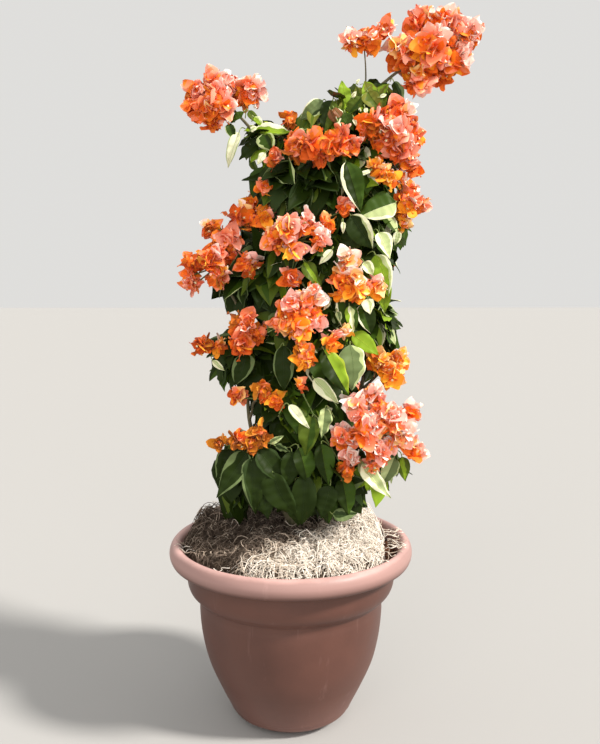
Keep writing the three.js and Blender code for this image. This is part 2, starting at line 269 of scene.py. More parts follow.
# Lumps that make up each flower head: x, y, z and radius in millimetres.
HEADS = {
    "bloom_top": [(258, 10, 1429, 33), (306, -10, 1423, 31), (352, 0, 1408, 23), (219, -10, 1368, 37), (272, -35, 1373, 42), (324, 0, 1360, 33), (253, -10, 1322, 33), (298, 20, 1340, 30), (284, 40, 1413, 40)],
    "bloom_top_left": [(187, 0, 1419, 21), (121, 0, 1390, 21), (157, -10, 1388, 22), (142, 15, 1401, 16)],
    "bloom_left_arm": [(-185, 0, 1295, 26), (-143, -10, 1312, 27), (-77, 0, 1297, 31), (-178, -20, 1257, 27), (-134, -35, 1266, 28), (-155, 0, 1236, 18), (-107, 30, 1293, 26), (-129, 40, 1310, 26)],
    "bloom_upper_front": [(13, -100, 1178, 26), (56, -125, 1179, 33), (93, -110, 1190, 26), (-27, -80, 1156, 14), (118, -100, 1182, 15), (52, -100, 1165, 23)],
    "bloom_upper_right": [(156, -80, 1223, 28), (207, -50, 1246, 30), (238, -40, 1210, 27), (212, -80, 1175, 30), (233, -60, 1143, 17), (173, -70, 1183, 23), (201, -105, 1203, 28), (181, -60, 1130, 18), (205, -50, 1120, 16)],
    "bud_red": [(-3, -20, 1239, 15)],
    "bloom_right": [(229, -25, 1083, 28), (219, -10, 1042, 20), (261, -10, 1076, 17), (237, 10, 1103, 20)],
    "bloom_left_upper": [(-157, -30, 1032, 19), (-99, -40, 1047, 27), (-48, -50, 1047, 23)],
    "bloom_left_middle": [(-195, -50, 964, 20), (-196, -50, 921, 19), (-156, -70, 969, 29), (-122, -50, 1008, 27), (-143, -70, 937, 25), (-85, -60, 958, 25), (-116, -30, 975, 24)],
    "bloom_centre": [(-29, -115, 1009, 24), (-1, -135, 1020, 27), (29, -125, 1037, 22), (52, -125, 1007, 19), (7, -130, 990, 21), (69, -105, 1039, 17)],
    "small_a": [(105, -100, 1069, 19), (-48, -60, 1107, 15), (-1, -100, 934, 19)],
    "bloom_centre_right": [(107, -120, 964, 26), (95, -120, 936, 21), (127, -130, 912, 24), (164, -100, 918, 19), (94, -120, 908, 13)],
    "bloom_centre_low": [(5, -130, 886, 26), (40, -130, 893, 25), (-14, -130, 850, 23), (16, -145, 845, 25), (50, -130, 857, 20), (41, -120, 910, 15)],
    "bloom_left_low": [(-91, -80, 848, 26), (-96, -90, 810, 27), (-68, -70, 825, 20)],
    "bloom_far_left": [(-174, -50, 804, 20), (-144, -50, 800, 16)],
    "small_b": [(75, -130, 812, 16), (98, -120, 830, 13), (25, -140, 786, 21), (20, -130, 804, 13)],
    "bloom_right_small": [(177, -60, 771, 24), (215, -60, 773, 20), (201, -70, 742, 24), (194, -40, 756, 20)],
    "bloom_low_pair": [(-27, -110, 699, 18), (-57, -110, 719, 14), (-102, -80, 704, 17)],
    "bloom_low_left": [(-138, -110, 614, 15), (-100, -120, 622, 17), (-58, -120, 636, 20), (-79, -120, 610, 12)],
    "bloom_low_right": [(126, -120, 685, 27), (161, -110, 704, 25), (103, -120, 624, 28), (143, -150, 649, 32), (188, -140, 667, 29), (214, -130, 635, 32), (244, -120, 598, 20), (169, -140, 602, 23), (115, -120, 590, 18), (231, -100, 675, 20), (156, -120, 570, 12), (187, -80, 621, 32)],
    "small_c": [(108, -120, 560, 18), (16, -140, 733, 9)],
    "small_d": [(159, -100, 1143, 12), (175, -100, 1130, 14), (194, -92, 1120, 12)],
}
# Heads on the far side, whose lumps are worked out from centre and half sizes.
BACK_HEADS = {
    "bloom_back_top": ((60, 128, 1206), (76, 52, 60), 38),
    "bloom_back_left": ((-76, 98, 1056), (60, 56, 50), 39),
    "bloom_back_right": ((170, 94, 962), (58, 56, 54), 40),
    "bloom_back_middle": ((46, 164, 930), (74, 50, 58), 41),
    "bloom_back_low": ((-62, 144, 742), (64, 54, 50), 42),
    "bloom_back_low_right": ((136, 112, 668), (60, 56, 50), 43),
}
# Leaf masses: centre, half sizes, twigs, droop of the leaves, how they are marked, size of the leaves
MASSES = {
    "leaves_skirt_left": ((-67, -38, 532), (90, 84, 100), 29, 1.6, "skirt", 1.10),
    "leaves_skirt_right": ((60, -38, 522), (74, 80, 98), 27, 1.6, "skirt", 1.10),
    "leaves_lower_left": ((-84, 0, 764), (60, 64, 64), 17, 1.0, "shade", 0.86),
    "leaves_lower": ((24, -26, 676), (108, 86, 92), 32, 1.1, "middle", 0.94),
    "leaves_side_right_low": ((142, 6, 828), (54, 70, 98), 22, 1.0, "right", 0.88),
    "leaves_middle": ((54, -24, 828), (112, 92, 96), 32, 1.0, "middle", 0.92),
    "leaves_side_left": ((-58, 12, 930), (80, 76, 84), 23, 0.9, "shade", 0.92),
    "leaves_side_right_high": ((160, 4, 1008), (54, 68, 98), 23, 1.0, "right", 0.88),
    "leaves_middle_upper": ((56, -24, 962), (116, 92, 88), 32, 1.0, "middle", 0.92),
    "leaves_upper_right": ((140, -10, 1120), (66, 76, 78), 23, 0.9, "right", 0.88),
    "leaves_upper": ((36, -20, 1106), (108, 84, 84), 29, 1.1, "shade", 0.96),
    "leaves_left_arm": ((-40, -10, 1190), (52, 44, 42), 12, 0.7, "arm", 0.56),
    "leaves_crown_right": ((148, 0, 1262), (62, 58, 56), 18, 0.4, "top", 0.62),
    "leaves_crown": ((74, -8, 1236), (80, 72, 64), 23, 0.7, "top", 0.70),
    "leaves_low_right": ((176, -80, 552), (50, 46, 46), 5, 0.9, "tips", 0.62),
    "leaves_back_skirt": ((-2, 72, 520), (118, 80, 108), 33, 1.3, "skirt", 0.98),
    "leaves_back_lower": ((26, 76, 676), (112, 84, 106), 33, 1.0, "middle", 0.94),
    "leaves_back_middle": ((52, 80, 842), (124, 84, 110), 33, 1.0, "middle", 0.94),
    "leaves_back_upper": ((70, 78, 1014), (122, 84, 112), 33, 1.0, "middle", 0.94),
    "leaves_back_top": ((84, 62, 1182), (112, 76, 98), 31, 0.8, "right", 0.86),
}
MM = 0.001


def axis_at(z):
    """Where the plant's middle line is at a height."""
    p = np.array(STEMS["main_stem"][0], float) * MM
    return np.array([np.interp(z, p[:, 2], p[:, 0]), np.interp(z, p[:, 2], p[:, 1])])


# ------------------------------------------------------------------ materials
def pot_nodes(nt, p):
    tex = node(nt, "ShaderNodeTexCoord")
    big = node(nt, "ShaderNodeTexNoise", ins={"Scale": 6.0, "Detail": 5.0, "Roughness": 0.6})
    nt.links.new(tex.outputs["Object"], big.inputs["Vector"])
    fine = node(nt, "ShaderNodeTexNoise", ins={"Scale": 240.0, "Detail": 3.0, "Roughness": 0.6})
    nt.links.new(tex.outputs["Object"], fine.inputs["Vector"])
    # faint dried runs down the wall
    squash = node(nt, "ShaderNodeMapping", ins={"Scale": (34.0, 34.0, 2.4)})
    nt.links.new(tex.outputs["Object"], squash.inputs["Vector"])
    runs = node(nt, "ShaderNodeTexNoise", ins={"Scale": 1.0, "Detail": 4.0, "Roughness": 0.65})
    nt.links.new(squash.outputs[0], runs.inputs["Vector"])
    ramp = node(nt, "ShaderNodeValToRGB")
    ramp.color_ramp.elements[0].position = 0.30
    ramp.color_ramp.elements[0].color = (0.078, 0.0275, 0.0180, 1)
    ramp.color_ramp.elements[1].position = 0.72
    ramp.color_ramp.elements[1].color = (0.116, 0.0440, 0.0295, 1)
    nt.links.new(big.outputs["Fac"], ramp.inputs["Fac"])
    dust_where = node(nt, "ShaderNodeValToRGB")
    dust_where.color_ramp.elements[0].position = 0.60
    dust_where.color_ramp.elements[0].color = (0, 0, 0, 1)
    dust_where.color_ramp.elements[1].position = 0.80
    dust_where.color_ramp.elements[1].color = (0.14, 0.14, 0.14, 1)
    nt.links.new(runs.outputs["Fac"], dust_where.inputs["Fac"])
    # dust lies where the surface looks up, and low on the foot; the up-facing part is also painted light, tops painted
    # paler where light falls on them
    geo = node(nt, "ShaderNodeNewGeometry")
    sep = node(nt, "ShaderNodeSeparateXYZ")
    nt.links.new(geo.outputs["Normal"], sep.inputs[0])
    up_dust_and_painted_light = node(nt, "ShaderNodeMapRange", ins={"From Min": 0.0, "From Max": 1.0, "To Min": 0.0, "To Max": 1.90})
    nt.links.new(sep.outputs["Z"], up_dust_and_painted_light.inputs["Value"])
    pos = node(nt, "ShaderNodeSeparateXYZ")
    nt.links.new(tex.outputs["Object"], pos.inputs[0])
    low = node(nt, "ShaderNodeMapRange", ins={"From Min": 0.10, "From Max": 0.0, "To Min": 0.0, "To Max": 0.22})
    nt.links.new(pos.outputs["Z"], low.inputs["Value"])
    s1 = node(nt, "ShaderNodeMath", operation="ADD")
    nt.links.new(up_dust_and_painted_light.outputs[0], s1.inputs[0])
    nt.links.new(low.outputs[0], s1.inputs[1])
    s2 = node(nt, "ShaderNodeMath", operation="MULTIPLY")
    nt.links.new(s1.outputs[0], s2.inputs[0])
    nt.links.new(big.outputs["Fac"], s2.inputs[1])
    # painted light: the rolled rim is painted paler than the wall, as where sunlight falls on it, and stays darker
    # underneath, where shade falls
    high = node(nt, "ShaderNodeMapRange", ins={"From Min": 0.345, "From Max": 0.356, "To Min": 0.0, "To Max": 0.52})
    nt.links.new(pos.outputs["Z"], high.inputs["Value"])
    around = node(nt, "ShaderNodeMapRange", ins={"From Min": -0.80, "From Max": 0.10, "To Min": 0.0, "To Max": 1.0})
    nt.links.new(sep.outputs["Z"], around.inputs["Value"])
    painted_rim_light = node(nt, "ShaderNodeMath", operation="MULTIPLY")
    nt.links.new(high.outputs[0], painted_rim_light.inputs[0])
    nt.links.new(around.outputs[0], painted_rim_light.inputs[1])
    most = node(nt, "ShaderNodeMath", operation="MAXIMUM")
    nt.links.new(s2.outputs[0], most.inputs[0])
    nt.links.new(painted_rim_light.outputs[0], most.inputs[1])
    s3 = node(nt, "ShaderNodeMath", operation="ADD", use_clamp=True)
    nt.links.new(most.outputs[0], s3.inputs[0])
    nt.links.new(dust_where.outputs[0], s3.inputs[1])
    mix = node(nt, "ShaderNodeMix", data_type="RGBA")
    nt.links.new(s3.outputs[0], mix.inputs["Factor"])
    nt.links.new(ramp.outputs[0], mix.inputs[6])
    # the pale colour serves both as dust and as the painted light on the rim
    mix.inputs[7].default_value = (0.60, 0.365, 0.330, 1)
    nt.links.new(mix.outputs[2], p.inputs["Base Color"])
    rough = node(nt, "ShaderNodeMapRange", ins={"From Min": 0.3, "From Max": 0.7, "To Min": 0.40, "To Max": 0.58})
    nt.links.new(big.outputs["Fac"], rough.inputs["Value"])
    nt.links.new(rough.outputs[0], p.inputs["Roughness"])
    bump = node(nt, "ShaderNodeBump", ins={"Strength": 0.10, "Distance": 0.0006})
    nt.links.new(fine.outputs["Fac"], bump.inputs["Height"])
    wide = node(nt, "ShaderNodeBump", ins={"Strength": 0.25, "Distance": 0.004})
    nt.links.new(big.outputs["Fac"], wide.inputs["Height"])
    nt.links.new(bump.outputs[0], wide.inputs["Normal"])
    nt.links.new(wide.outputs[0], p.inputs["Normal"])


def earth_nodes(lo, hi, scale, distance):
    def build(nt, p):
        tex = node(nt, "ShaderNodeTexCoord")
        n = node(nt, "ShaderNodeTexNoise", ins={"Scale": scale, "Detail": 6.0, "Roughness": 0.7})
        nt.links.new(tex.outputs["Object"], n.inputs["Vector"])
        ramp = node(nt, "ShaderNodeValToRGB")
        ramp.color_ramp.elements[0].position = 0.32
        ramp.color_ramp.elements[0].color = (*lo, 1)
        ramp.color_ramp.elements[1].position = 0.70
        ramp.color_ramp.elements[1].color = (*hi, 1)
        nt.links.new(n.outputs["Fac"], ramp.inputs["Fac"])
        nt.links.new(ramp.outputs[0], p.inputs["Base Color"])
        bump = node(nt, "ShaderNodeBump", ins={"Strength": 0.8, "Distance": distance})
        nt.links.new(n.outputs["Fac"], bump.inputs["Height"])
        nt.links.new(bump.outputs[0], p.inputs["Normal"])
    return build


def bark_nodes(nt, p):
    tex = node(nt, "ShaderNodeTexCoord")
    stretch = node(nt, "ShaderNodeMapping", ins={"Scale": (1.0, 1.0, 0.22)})
    nt.links.new(tex.outputs["Object"], stretch.inputs["Vector"])
    n = node(nt, "ShaderNodeTexNoise", ins={"Scale": 160.0, "Detail": 6.0, "Roughness": 0.65})
    nt.links.new(stretch.outputs[0], n.inputs["Vector"])
    wide = node(nt, "ShaderNodeTexNoise", ins={"Scale": 22.0, "Detail": 3.0, "Roughness": 0.6})
    nt.links.new(tex.outputs["Object"], wide.inputs["Vector"])
    ramp = node(nt, "ShaderNodeValToRGB")
    ramp.color_ramp.elements[0].position = 0.34
    ramp.color_ramp.elements[0].color = (0.055, 0.038, 0.024, 1)
    ramp.color_ramp.elements[1].position = 0.66
    ramp.color_ramp.elements[1].color = (0.24, 0.185, 0.115, 1)
    mid = ramp.color_ramp.elements.new(0.5)
    mid.color = (0.165, 0.120, 0.078, 1)
    nt.links.new(n.outputs["Fac"], ramp.inputs["Fac"])
    mix = node(nt, "ShaderNodeMix", data_type="RGBA")
    nt.links.new(wide.outputs["Fac"], mix.inputs["Factor"])
    nt.links.new(ramp.outputs[0], mix.inputs[6])
    mix.inputs[7].default_value = (0.105, 0.115, 0.055, 1)
    nt.links.new(mix.outputs[2], p.inputs["Base Color"])
    bump = node(nt, "ShaderNodeBump", ins={"Strength": 0.8, "Distance": 0.0016})
    nt.links.new(n.outputs["Fac"], bump.inputs["Height"])
    nt.links.new(bump.outputs[0], p.inputs["Normal"])


POT = material("pot_plastic", (0.24, 0.12, 0.09), 0.5, pot_nodes)
SOIL = material("potting_mix", (0.04, 0.022, 0.014), 0.95, earth_nodes((0.012, 0.007, 0.005), (0.085, 0.045, 0.028), 140.0, 0.004), specular=0.2)
MOUND = material("moss_bed", (0.2, 0.15, 0.1), 0.95, earth_nodes((0.018, 0.012, 0.008), (0.16, 0.115, 0.080), 150.0, 0.006), specular=0.1)
BARK = material("bark", (0.2, 0.15, 0.1), 0.85, bark_nodes, specular=0.25)
CHIPS = [material(f"chip_{i}", c, 0.9, specular=0.2) for i, c in enumerate([(0.10, 0.040, 0.020), (0.16, 0.065, 0.032), (0.055, 0.025, 0.014), (0.24, 0.13, 0.075)])]
MOSS = [material(f"moss_{i}", c, 0.9, specular=0.15) for i, c in enumerate([(0.93, 0.85, 0.75), (0.80, 0.69, 0.57), (0.52, 0.42, 0.33), (0.26, 0.20, 0.155), (0.09, 0.065, 0.048)])]
LEAF = [material(n, c, r, specular=s) for n, c, r, s in [
    ("leaf_deep", (0.0140, 0.0262, 0.0022), 0.50, 0.10),       # 0
    ("leaf_green", (0.034, 0.068, 0.0052), 0.50, 0.11),      # 1
    ("leaf_bright", (0.200, 0.310, 0.015), 0.50, 0.14),     # 2
    ("leaf_grey", (0.128, 0.172, 0.064), 0.54, 0.11),       # 3
    ("leaf_pale", (0.400, 0.465, 0.205), 0.56, 0.16),       # 4
    ("leaf_cream", (0.740, 0.735, 0.490), 0.56, 0.16),      # 5
    ("leaf_young", (0.320, 0.400, 0.030), 0.50, 0.14),      # 6
    ("leaf_olive", (0.070, 0.104, 0.008), 0.50, 0.12),      # 7
    # 8 is painted shade: a darkened copy of the grey-green, for grey margins that lie in shade
    ("leaf_grey_painted_shade", (0.027, 0.047, 0.011), 0.52, 0.10),       # 8
    ("leaf_bronze", (0.190, 0.070, 0.022), 0.50, 0.20),     # 9
    ("leaf_khaki", (0.150, 0.160, 0.020), 0.52, 0.12),       # 10
]]
TWIG = [material(n, c, 0.7, specular=0.3) for n, c in [
    ("twig_green", (0.13, 0.18, 0.05)), ("twig_brown", (0.10, 0.065, 0.038)), ("petiole", (0.26, 0.33, 0.10))]]
BRACT = [material("bract_" + n, c, r, specular=0.25, sheen=0.1) for n, c, r in [
    ("deep", (0.90, 0.165, 0.007), 0.60),
    ("orange", (0.97, 0.265, 0.012), 0.60),
    ("amber", (0.985, 0.405, 0.022), 0.60),
    ("coral", (0.975, 0.280, 0.130), 0.60),
    ("salmon", (0.98, 0.385, 0.255), 0.60),
    ("pink", (0.98, 0.520, 0.440), 0.60),
    ("blush", (0.98, 0.70, 0.58), 0.62),
    ("white", (0.98, 0.88, 0.80), 0.62),
    ("shade", (0.66, 0.115, 0.006), 0.66),
    ("rust", (0.58, 0.150, 0.010), 0.66),
    ("peach", (0.985, 0.570, 0.210), 0.60),
    ("gold", (0.96, 0.320, 0.010), 0.62),
    # the four after this line are painted shade, darker copies of red, orange, coral and salmon; brown, ochre and
    # ochre_light are painted deep shade
    ("shade_painted_red", (0.70, 0.105, 0.006), 0.64),
    ("shade_painted_orange", (0.82, 0.190, 0.009), 0.64),
    ("shade_painted_coral", (0.83, 0.220, 0.095), 0.64),
    ("shade_painted_salmon", (0.88, 0.310, 0.200), 0.64),
    ("brown", (0.46, 0.120, 0.005), 0.68),
    ("ochre", (0.62, 0.205, 0.007), 0.66),
    ("ochre_light", (0.78, 0.310, 0.026), 0.66),
]]
CREAM = [material("flower_cream", (0.90, 0.82, 0.50), 0.6), material("flower_tube", (0.55, 0.42, 0.10), 0.6)]

# ------------------------------------------------------------------ pot
def arc(cx, cz, rx, rz, a0, a1, n):
    a = np.radians(np.linspace(a0, a1, n))
    return [(cx + rx * math.cos(t), cz + rz * math.sin(t)) for t in a]


def spline(points, n):
    c = catmull([(r, 0, z) for r, z in points], n)
    return [(p[0], p[2]) for p in c]


def pot_shell():
    foot = [(0.0, 2.5), (50, 2.5), (78, 2.2), (80.5, 0.6), (83, 0.0), (88, 0.0)]
    foot += spline([(92, 0.7), (102, 5.0), (114.6, 12.4), (121.5, 17.4), (125.6, 22.0), (127.6, 26.6)], 15)
    step = [(128.1, 28.0), (129.2, 28.9), (130.4, 29.6), (131.0, 31.0)]
    body = spline([(131.6, 32.6), (154, 80), (174.4, 130), (186.9, 182), (192.2, 232), (192.5, 262)], 46)
    neck = arc(197.3, 266.2, 4.4, 4.4, 172, 100, 5) + [(197.6, 271.2), (198.6, 272.4), (199.6, 273.4)]
    band = spline([(200.4, 274.4), (205, 278.6), (211.5, 286), (216.6, 299), (218.4, 318), (219.2, 338), (220.5, 343.0)], 26)
    k = RIM_R * 1000 - RIM_HALF_W * 1000
    roll = arc(k, 365, 14, 21, -100, 182, 34)
    roll = [(219.8 + 3, 344.3), (228, 345.0), (234, 344.5)] + roll
    inner = [(225.4, 358), (224.2, 350), (221.5, 345), (216.0, 335), (214.2, 318), (212.4, 300), (206, 287), (196, 276), (188.6, 266), (188.2, 232), (182.8, 182), (170.3, 130), (150, 80), (124, 30), (113, 18), (98, 8.4), (60, 8), (0.0, 8)]
    prof = np.array(foot + step + body + neck + band + roll + inner) * MM
    sides = 208
    ang = np.arange(sides) / sides * 2 * math.pi
    wob = Waves(3, 0.30, 5)
    R = prof[:, 0][:, None] * np.ones(sides)
    Z = prof[:, 1][:, None] * np.ones(sides)
    V = np.stack([R * np.cos(ang), R * np.sin(ang), Z], -1)
    # a moulded pot is never quite true: a few tenths of a millimetre in and out
    w = wob(V.reshape(-1, 3)).reshape(V.shape[:2]) * 0.0007
    w[prof[:, 0] < 0.080] = 0
    w[prof[:, 1] < 0.002] = 0
    V[..., 0] -= np.abs(w) * np.cos(ang)
    V[..., 1] -= np.abs(w) * np.sin(ang)
    n = len(prof)
    quads = grid_faces(n, sides, wrap=True)
    rows = quads[:, 0] // sides
    keep = (rows > 0) & (rows < n - 2)
    f4 = quads[keep]
    i = np.arange(sides)
    j = (i + 1) % sides
    top, bot = np.full(sides, 0), np.full(sides, (n - 1) * sides)
    f3 = np.concatenate([np.stack([top, sides + j, sides + i], -1), np.stack([bot, (n - 2) * sides + i, (n - 2) * sides + j], -1)])
    V = V.reshape(-1, 3)
    # only the first point of the two axis rings is used
    used = np.ones(len(V), bool)
    used[1:sides] = False
    used[(n - 1) * sides + 1:] = False
    new = np.cumsum(used) - 1
    o = mesh_object("pot_shell", V[used], [new[f3], new[f4]], [POT])
    return o


pot = pot_shell()
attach(pot, "root")
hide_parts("pot")

# ------------------------------------------------------------------ moss heights, as in the solids but finer
moss_wave = Waves(12, 0.085, 7)
moss_fine = Waves(13, 0.022, 9)
moss_gap = Waves(29, 0.052, 9)


def moss_top(x, y):
    X, Y = x * 1000, y * 1000
    r = np.hypot(X, Y) / 213

    def swell(cx, cy, s, h):
        return h * np.exp(-((X - cx) ** 2 + (Y - cy) ** 2) / (2 * s * s))
    z = 374 + 28 * (1 - r * r) + swell(-176, 44, 50, 38) + swell(144, 84, 52, 44) + swell(40, 150, 60, 16) + swell(-70, 105, 58, 24)
    p = np.stack([x, y, 0 * x], -1)
    return (z + 4.5 * moss_wave(p) + 1.8 * moss_fine(p)) * MM


def moss_edge(a):
    """Radius of the mound at an angle, drawn in at the right where the soil shows."""
    p = np.stack([np.cos(a), np.sin(a), 0 * a], -1)
    left = np.exp(-(((np.abs(a) - 2.95) / 0.50) ** 2))
    return (212.5 + 8.5 * left - 20 * np.exp(-(((a + 0.10) / 0.42) ** 2)) + 4 * moss_wave(p * 0.11) + 3 * moss_fine(p * 0.12)) * MM


def moss_skin(x, y):
    """The mound's height with its rounded shoulder, longer at the right where it slopes to the soil."""
    a = np.arctan2(y, x)
    k = np.hypot(x, y) / moss_edge(a)
    side = np.exp(-(((a + 0.05) / 0.75) ** 2))
    fall = np.clip((k - (0.90 - 0.26 * side)) / (0.10 + 0.26 * side), 0, 1.05)
    fall = np.where(fall < 1, 1 - np.sqrt(np.maximum(0, 1 - fall ** 2.2)), 1 + (fall - 1) * 2)
    z = moss_top(x, y)
    foot = np.minimum(z - 0.014, 0.372 - 0.012 * side)
    return z * (1 - fall) + foot * fall


def moss_mound():
    rings, sides = 60, 220
    a = np.arange(sides) / sides * 2 * math.pi
    aw = np.where(a > math.pi, a - 2 * math.pi, a)
    k = np.linspace(0, 1, rings + 1)[1:]
    R = k[:, None] * moss_edge(aw)[None, :]
    X, Y = R * np.cos(a), R * np.sin(a)
    Z = moss_skin(X, Y)
    V = [np.array([[0, 0, moss_top(np.array(0.0), np.array(0.0))]]), np.stack([X, Y, Z], -1).reshape(-1, 3)]
    edge = np.stack([X[-1] * 0.985, Y[-1] * 0.985, np.full(sides, SOIL_Z + 0.001)], -1)
    V += [edge, np.array([[0, 0, SOIL_Z + 0.001]])]
    V = np.concatenate(V)
    quads = grid_faces(rings + 1, sides, wrap=True) + 1
    i = np.arange(sides)
    j = (i + 1) % sides
    last = len(V) - 1
    base = 1 + rings * sides
    f3 = np.concatenate([np.stack([np.zeros(sides, int), 1 + i, 1 + j], -1), np.stack([np.full(sides, last), base + j, base + i], -1)])
    return mesh_object("moss_mound", V, [f3, quads[:, ::-1]], [MOUND])


mound = moss_mound()
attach(mound, "root")
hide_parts("moss")


def potting_mix():
    rings, sides = 46, 180
    a = np.arange(sides) / sides * 2 * math.pi
    k = np.linspace(0, 1, rings + 1)[1:]
    rr = Waves(31, 0.035, 9)
    X, Y = 0.2155 * k[:, None] * np.cos(a), 0.2155 * k[:, None] * np.sin(a)
    Z = SOIL_Z - 0.001 + 0.0035 * rr(np.stack([X, Y, 0 * X], -1)) * smooth(0.5, 0.7, k)[:, None]
    V = [np.array([[0, 0, SOIL_Z - 0.001]]), np.stack([X, Y, Z], -1).reshape(-1, 3)]
    down = [(0.2150, 0.330), (0.2080, 0.295), (0.1870, 0.262), (0.1865, 0.232), (0.1805, 0.182), (0.1680, 0.130), (0.1475, 0.080), (0.1215, 0.031), (0.0960, 0.0095)]
    for r, z in down:
        V.append(np.stack([r * np.cos(a), r * np.sin(a), np.full(sides, z)], -1))
    V.append(np.array([[0, 0, 0.0095]]))
    V = np.concatenate(V)
    quads = grid_faces(rings + len(down), sides, wrap=True) + 1
    i = np.arange(sides)
    j = (i + 1) % sides
    last = len(V) - 1
    base = last - sides
    f3 = np.concatenate([np.stack([np.zeros(sides, int), 1 + i, 1 + j], -1), np.stack([np.full(sides, last), base + j, base + i], -1)])
    return mesh_object("potting_mix", V, [f3, quads[:, ::-1]], [SOIL])


soil = potting_mix()
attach(soil, "root")
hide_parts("soil")


def bark_chips():
    rng = np.random.default_rng(5)
    bag = Bag()
    n = 620
    a = rng.random(n) * 2 * math.pi
    near = rng.random(n) < 0.5
    a = np.where(near, rng.normal(0.30, 0.35, n), a)
    r = 0.2135 - np.abs(rng.normal(0, 0.012, n))
    cube = np.array([[x, y, z] for z in (-1, 1) for y in (-1, 1) for x in (-1, 1)], float)
    faces = np.array([[0, 2, 3, 1], [4, 5, 7, 6], [0, 1, 5, 4], [2, 6, 7, 3], [1, 3, 7, 5], [0, 4, 6, 2]])
    for i in range(n):
        s = np.array([rng.uniform(2, 8), rng.uniform(1.2, 3.6), rng.uniform(0.7, 1.8)]) * MM
        v = cube * s * (1 + rng.normal(0, 0.22, (8, 3)))
        v[:, 0] += v[:, 2] * 0.6
        e = rng.normal(0, 0.35, 2)
        g = rng.random() * 6.28
        rot = np.array([[math.cos(g), -math.sin(g), 0], [math.sin(g), math.cos(g), 0], [0, 0, 1]])
        tilt = np.array([[1, 0, e[0]], [0, 1, e[1]], [-e[0], -e[1], 1]])
        v = v @ tilt.T @ rot.T
        v += [r[i] * math.cos(a[i]), r[i] * math.sin(a[i]), SOIL_Z + 0.002 + rng.random() * 0.006]
        over = np.hypot(v[:, 0], v[:, 1])
        v[:, :2] *= np.minimum(1, 0.2215 / over)[:, None]
        bag.add(v, faces, rng.choice(4, p=[0.35, 0.3, 0.25, 0.10]))
    return bag.build("bark_chips", CHIPS, smooth_shade=False)


chips = bark_chips()
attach(chips, "root")


def moss_strands():
    rng = np.random.default_rng(77)
    n, k = 4480, 7
    a = rng.random(n) * 2 * math.pi - math.pi
    q = np.sqrt(rng.random(n)) * 1.0
    edge = moss_edge(a)
    x0, y0 = q * edge * np.cos(a), q * edge * np.sin(a)
    head = rng.random(n) * 2 * math.pi
    length = rng.uniform(0.016, 0.074, n)
    curl = rng.normal(0, 1, n) * np.where(rng.random(n) < 0.3, 150, 70)
    change = rng.normal(0, 1, n) * 2600
    s = np.linspace(0, 1, k)
    S = s[None] * length[:, None]
    ang = head[:, None] + curl[:, None] * S + 0.5 * change[:, None] * S ** 2
    step = length / (k - 1)
    X = x0[:, None] + np.concatenate([np.zeros((n, 1)), np.cumsum(np.cos(ang[:, :-1]) * step[:, None], 1)], 1)
    Y = y0[:, None] + np.concatenate([np.zeros((n, 1)), np.cumsum(np.sin(ang[:, :-1]) * step[:, None], 1)], 1)
    ap = np.arctan2(Y, X)
    lim = moss_edge(ap) + rng.uniform(-0.002, 0.006, n)[:, None]
    ragged = np.exp(-(((a - 0.05) / 0.55) ** 2)) * (q > 0.80)
    rad = np.hypot(X, Y)
    f = np.where(rad > lim, lim / np.maximum(rad, 1e-6), 1)
    X, Y = X * f, Y * f
    base = moss_skin(X, Y)
    # painted shade: strands in these patches are painted darker, standing in for dark gaps where the bed shows
    gap_shade = smooth(0.42, 0.78, moss_gap(np.stack([x0, y0, 0 * x0], -1)))
    lift = rng.uniform(0.0004, 0.0055, n)[:, None] + rng.uniform(-0.002, 0.017, n)[:, None] * np.sin(math.pi * s)[None] ** 1.2 + rng.normal(0, 0.0011, (n, k))
    loose = (rng.random(n) < 0.14 + 0.30 * ragged)[:, None]
    lift = lift + np.where(loose, rng.uniform(0.006, 0.022, n)[:, None] * s[None] ** 1.3, 0)
    P = np.stack([X, Y, base + np.maximum(lift, 0.0003)], -1)
    R = (0.00048 + 0.00086 * rng.random(n) ** 1.4)[:, None] * (1 - 0.45 * s[None] ** 2)
    # painted light and shade: strands are painted paler to the front and right, where light falls, and darker at the
    # left and under the leaves, in the bush's cast shadow; the back is lifted to a middle tone
    painted_sunlit = smooth(-0.045, 0.050, np.maximum(x0 - 1.14 * y0 - 0.112, 1.3 * (x0 - 0.085)))
    shade = -0.72 + np.maximum(2.15 * painted_sunlit, 1.0 * smooth(0.07, 0.15, y0)) + 0.45 * x0 / 0.21 + 0.34 * moss_wave(np.stack([x0, y0, 0 * x0], -1)) + rng.normal(0, 0.50, n) - 1.9 * gap_shade
    tone = np.clip(np.digitize(-shade, [-0.72, -0.10, 0.42, 0.95]), 0, 4)
    bag = Bag()
    add_tubes(bag, P, R, 3, tone)
    # a few long strands that trail over the rim
    m = 44
    a = np.where(rng.random(m) < 0.5, rng.normal(0.02, 0.34, m), rng.random(m) * 2 * math.pi)
    kk = 10
    s = np.linspace(0, 1, kk)
    r = 0.203 + (0.042 * s)[None] * rng.uniform(0.6, 1.0, m)[:, None]
    drift = a[:, None] + rng.normal(0, 0.12, m)[:, None] * s[None] + 0.025 * np.sin(s[None] * rng.uniform(6, 14, m)[:, None])
    z = np.where(r < 0.226, 0.381, 0.3865 - 0.010 * ((r - 0.240) / 0.014) ** 2) + 0.0012
    P = np.stack([r * np.cos(drift), r * np.sin(drift), z + 0.003 * np.sin(math.pi * s)[None] * rng.random((m, 1))], -1)
    add_tubes(bag, P, np.full((m, kk), 0.0008), 3, rng.choice(3, m))
    return bag.build("moss_strands", MOSS)


strands = moss_strands()
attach(strands, "root")

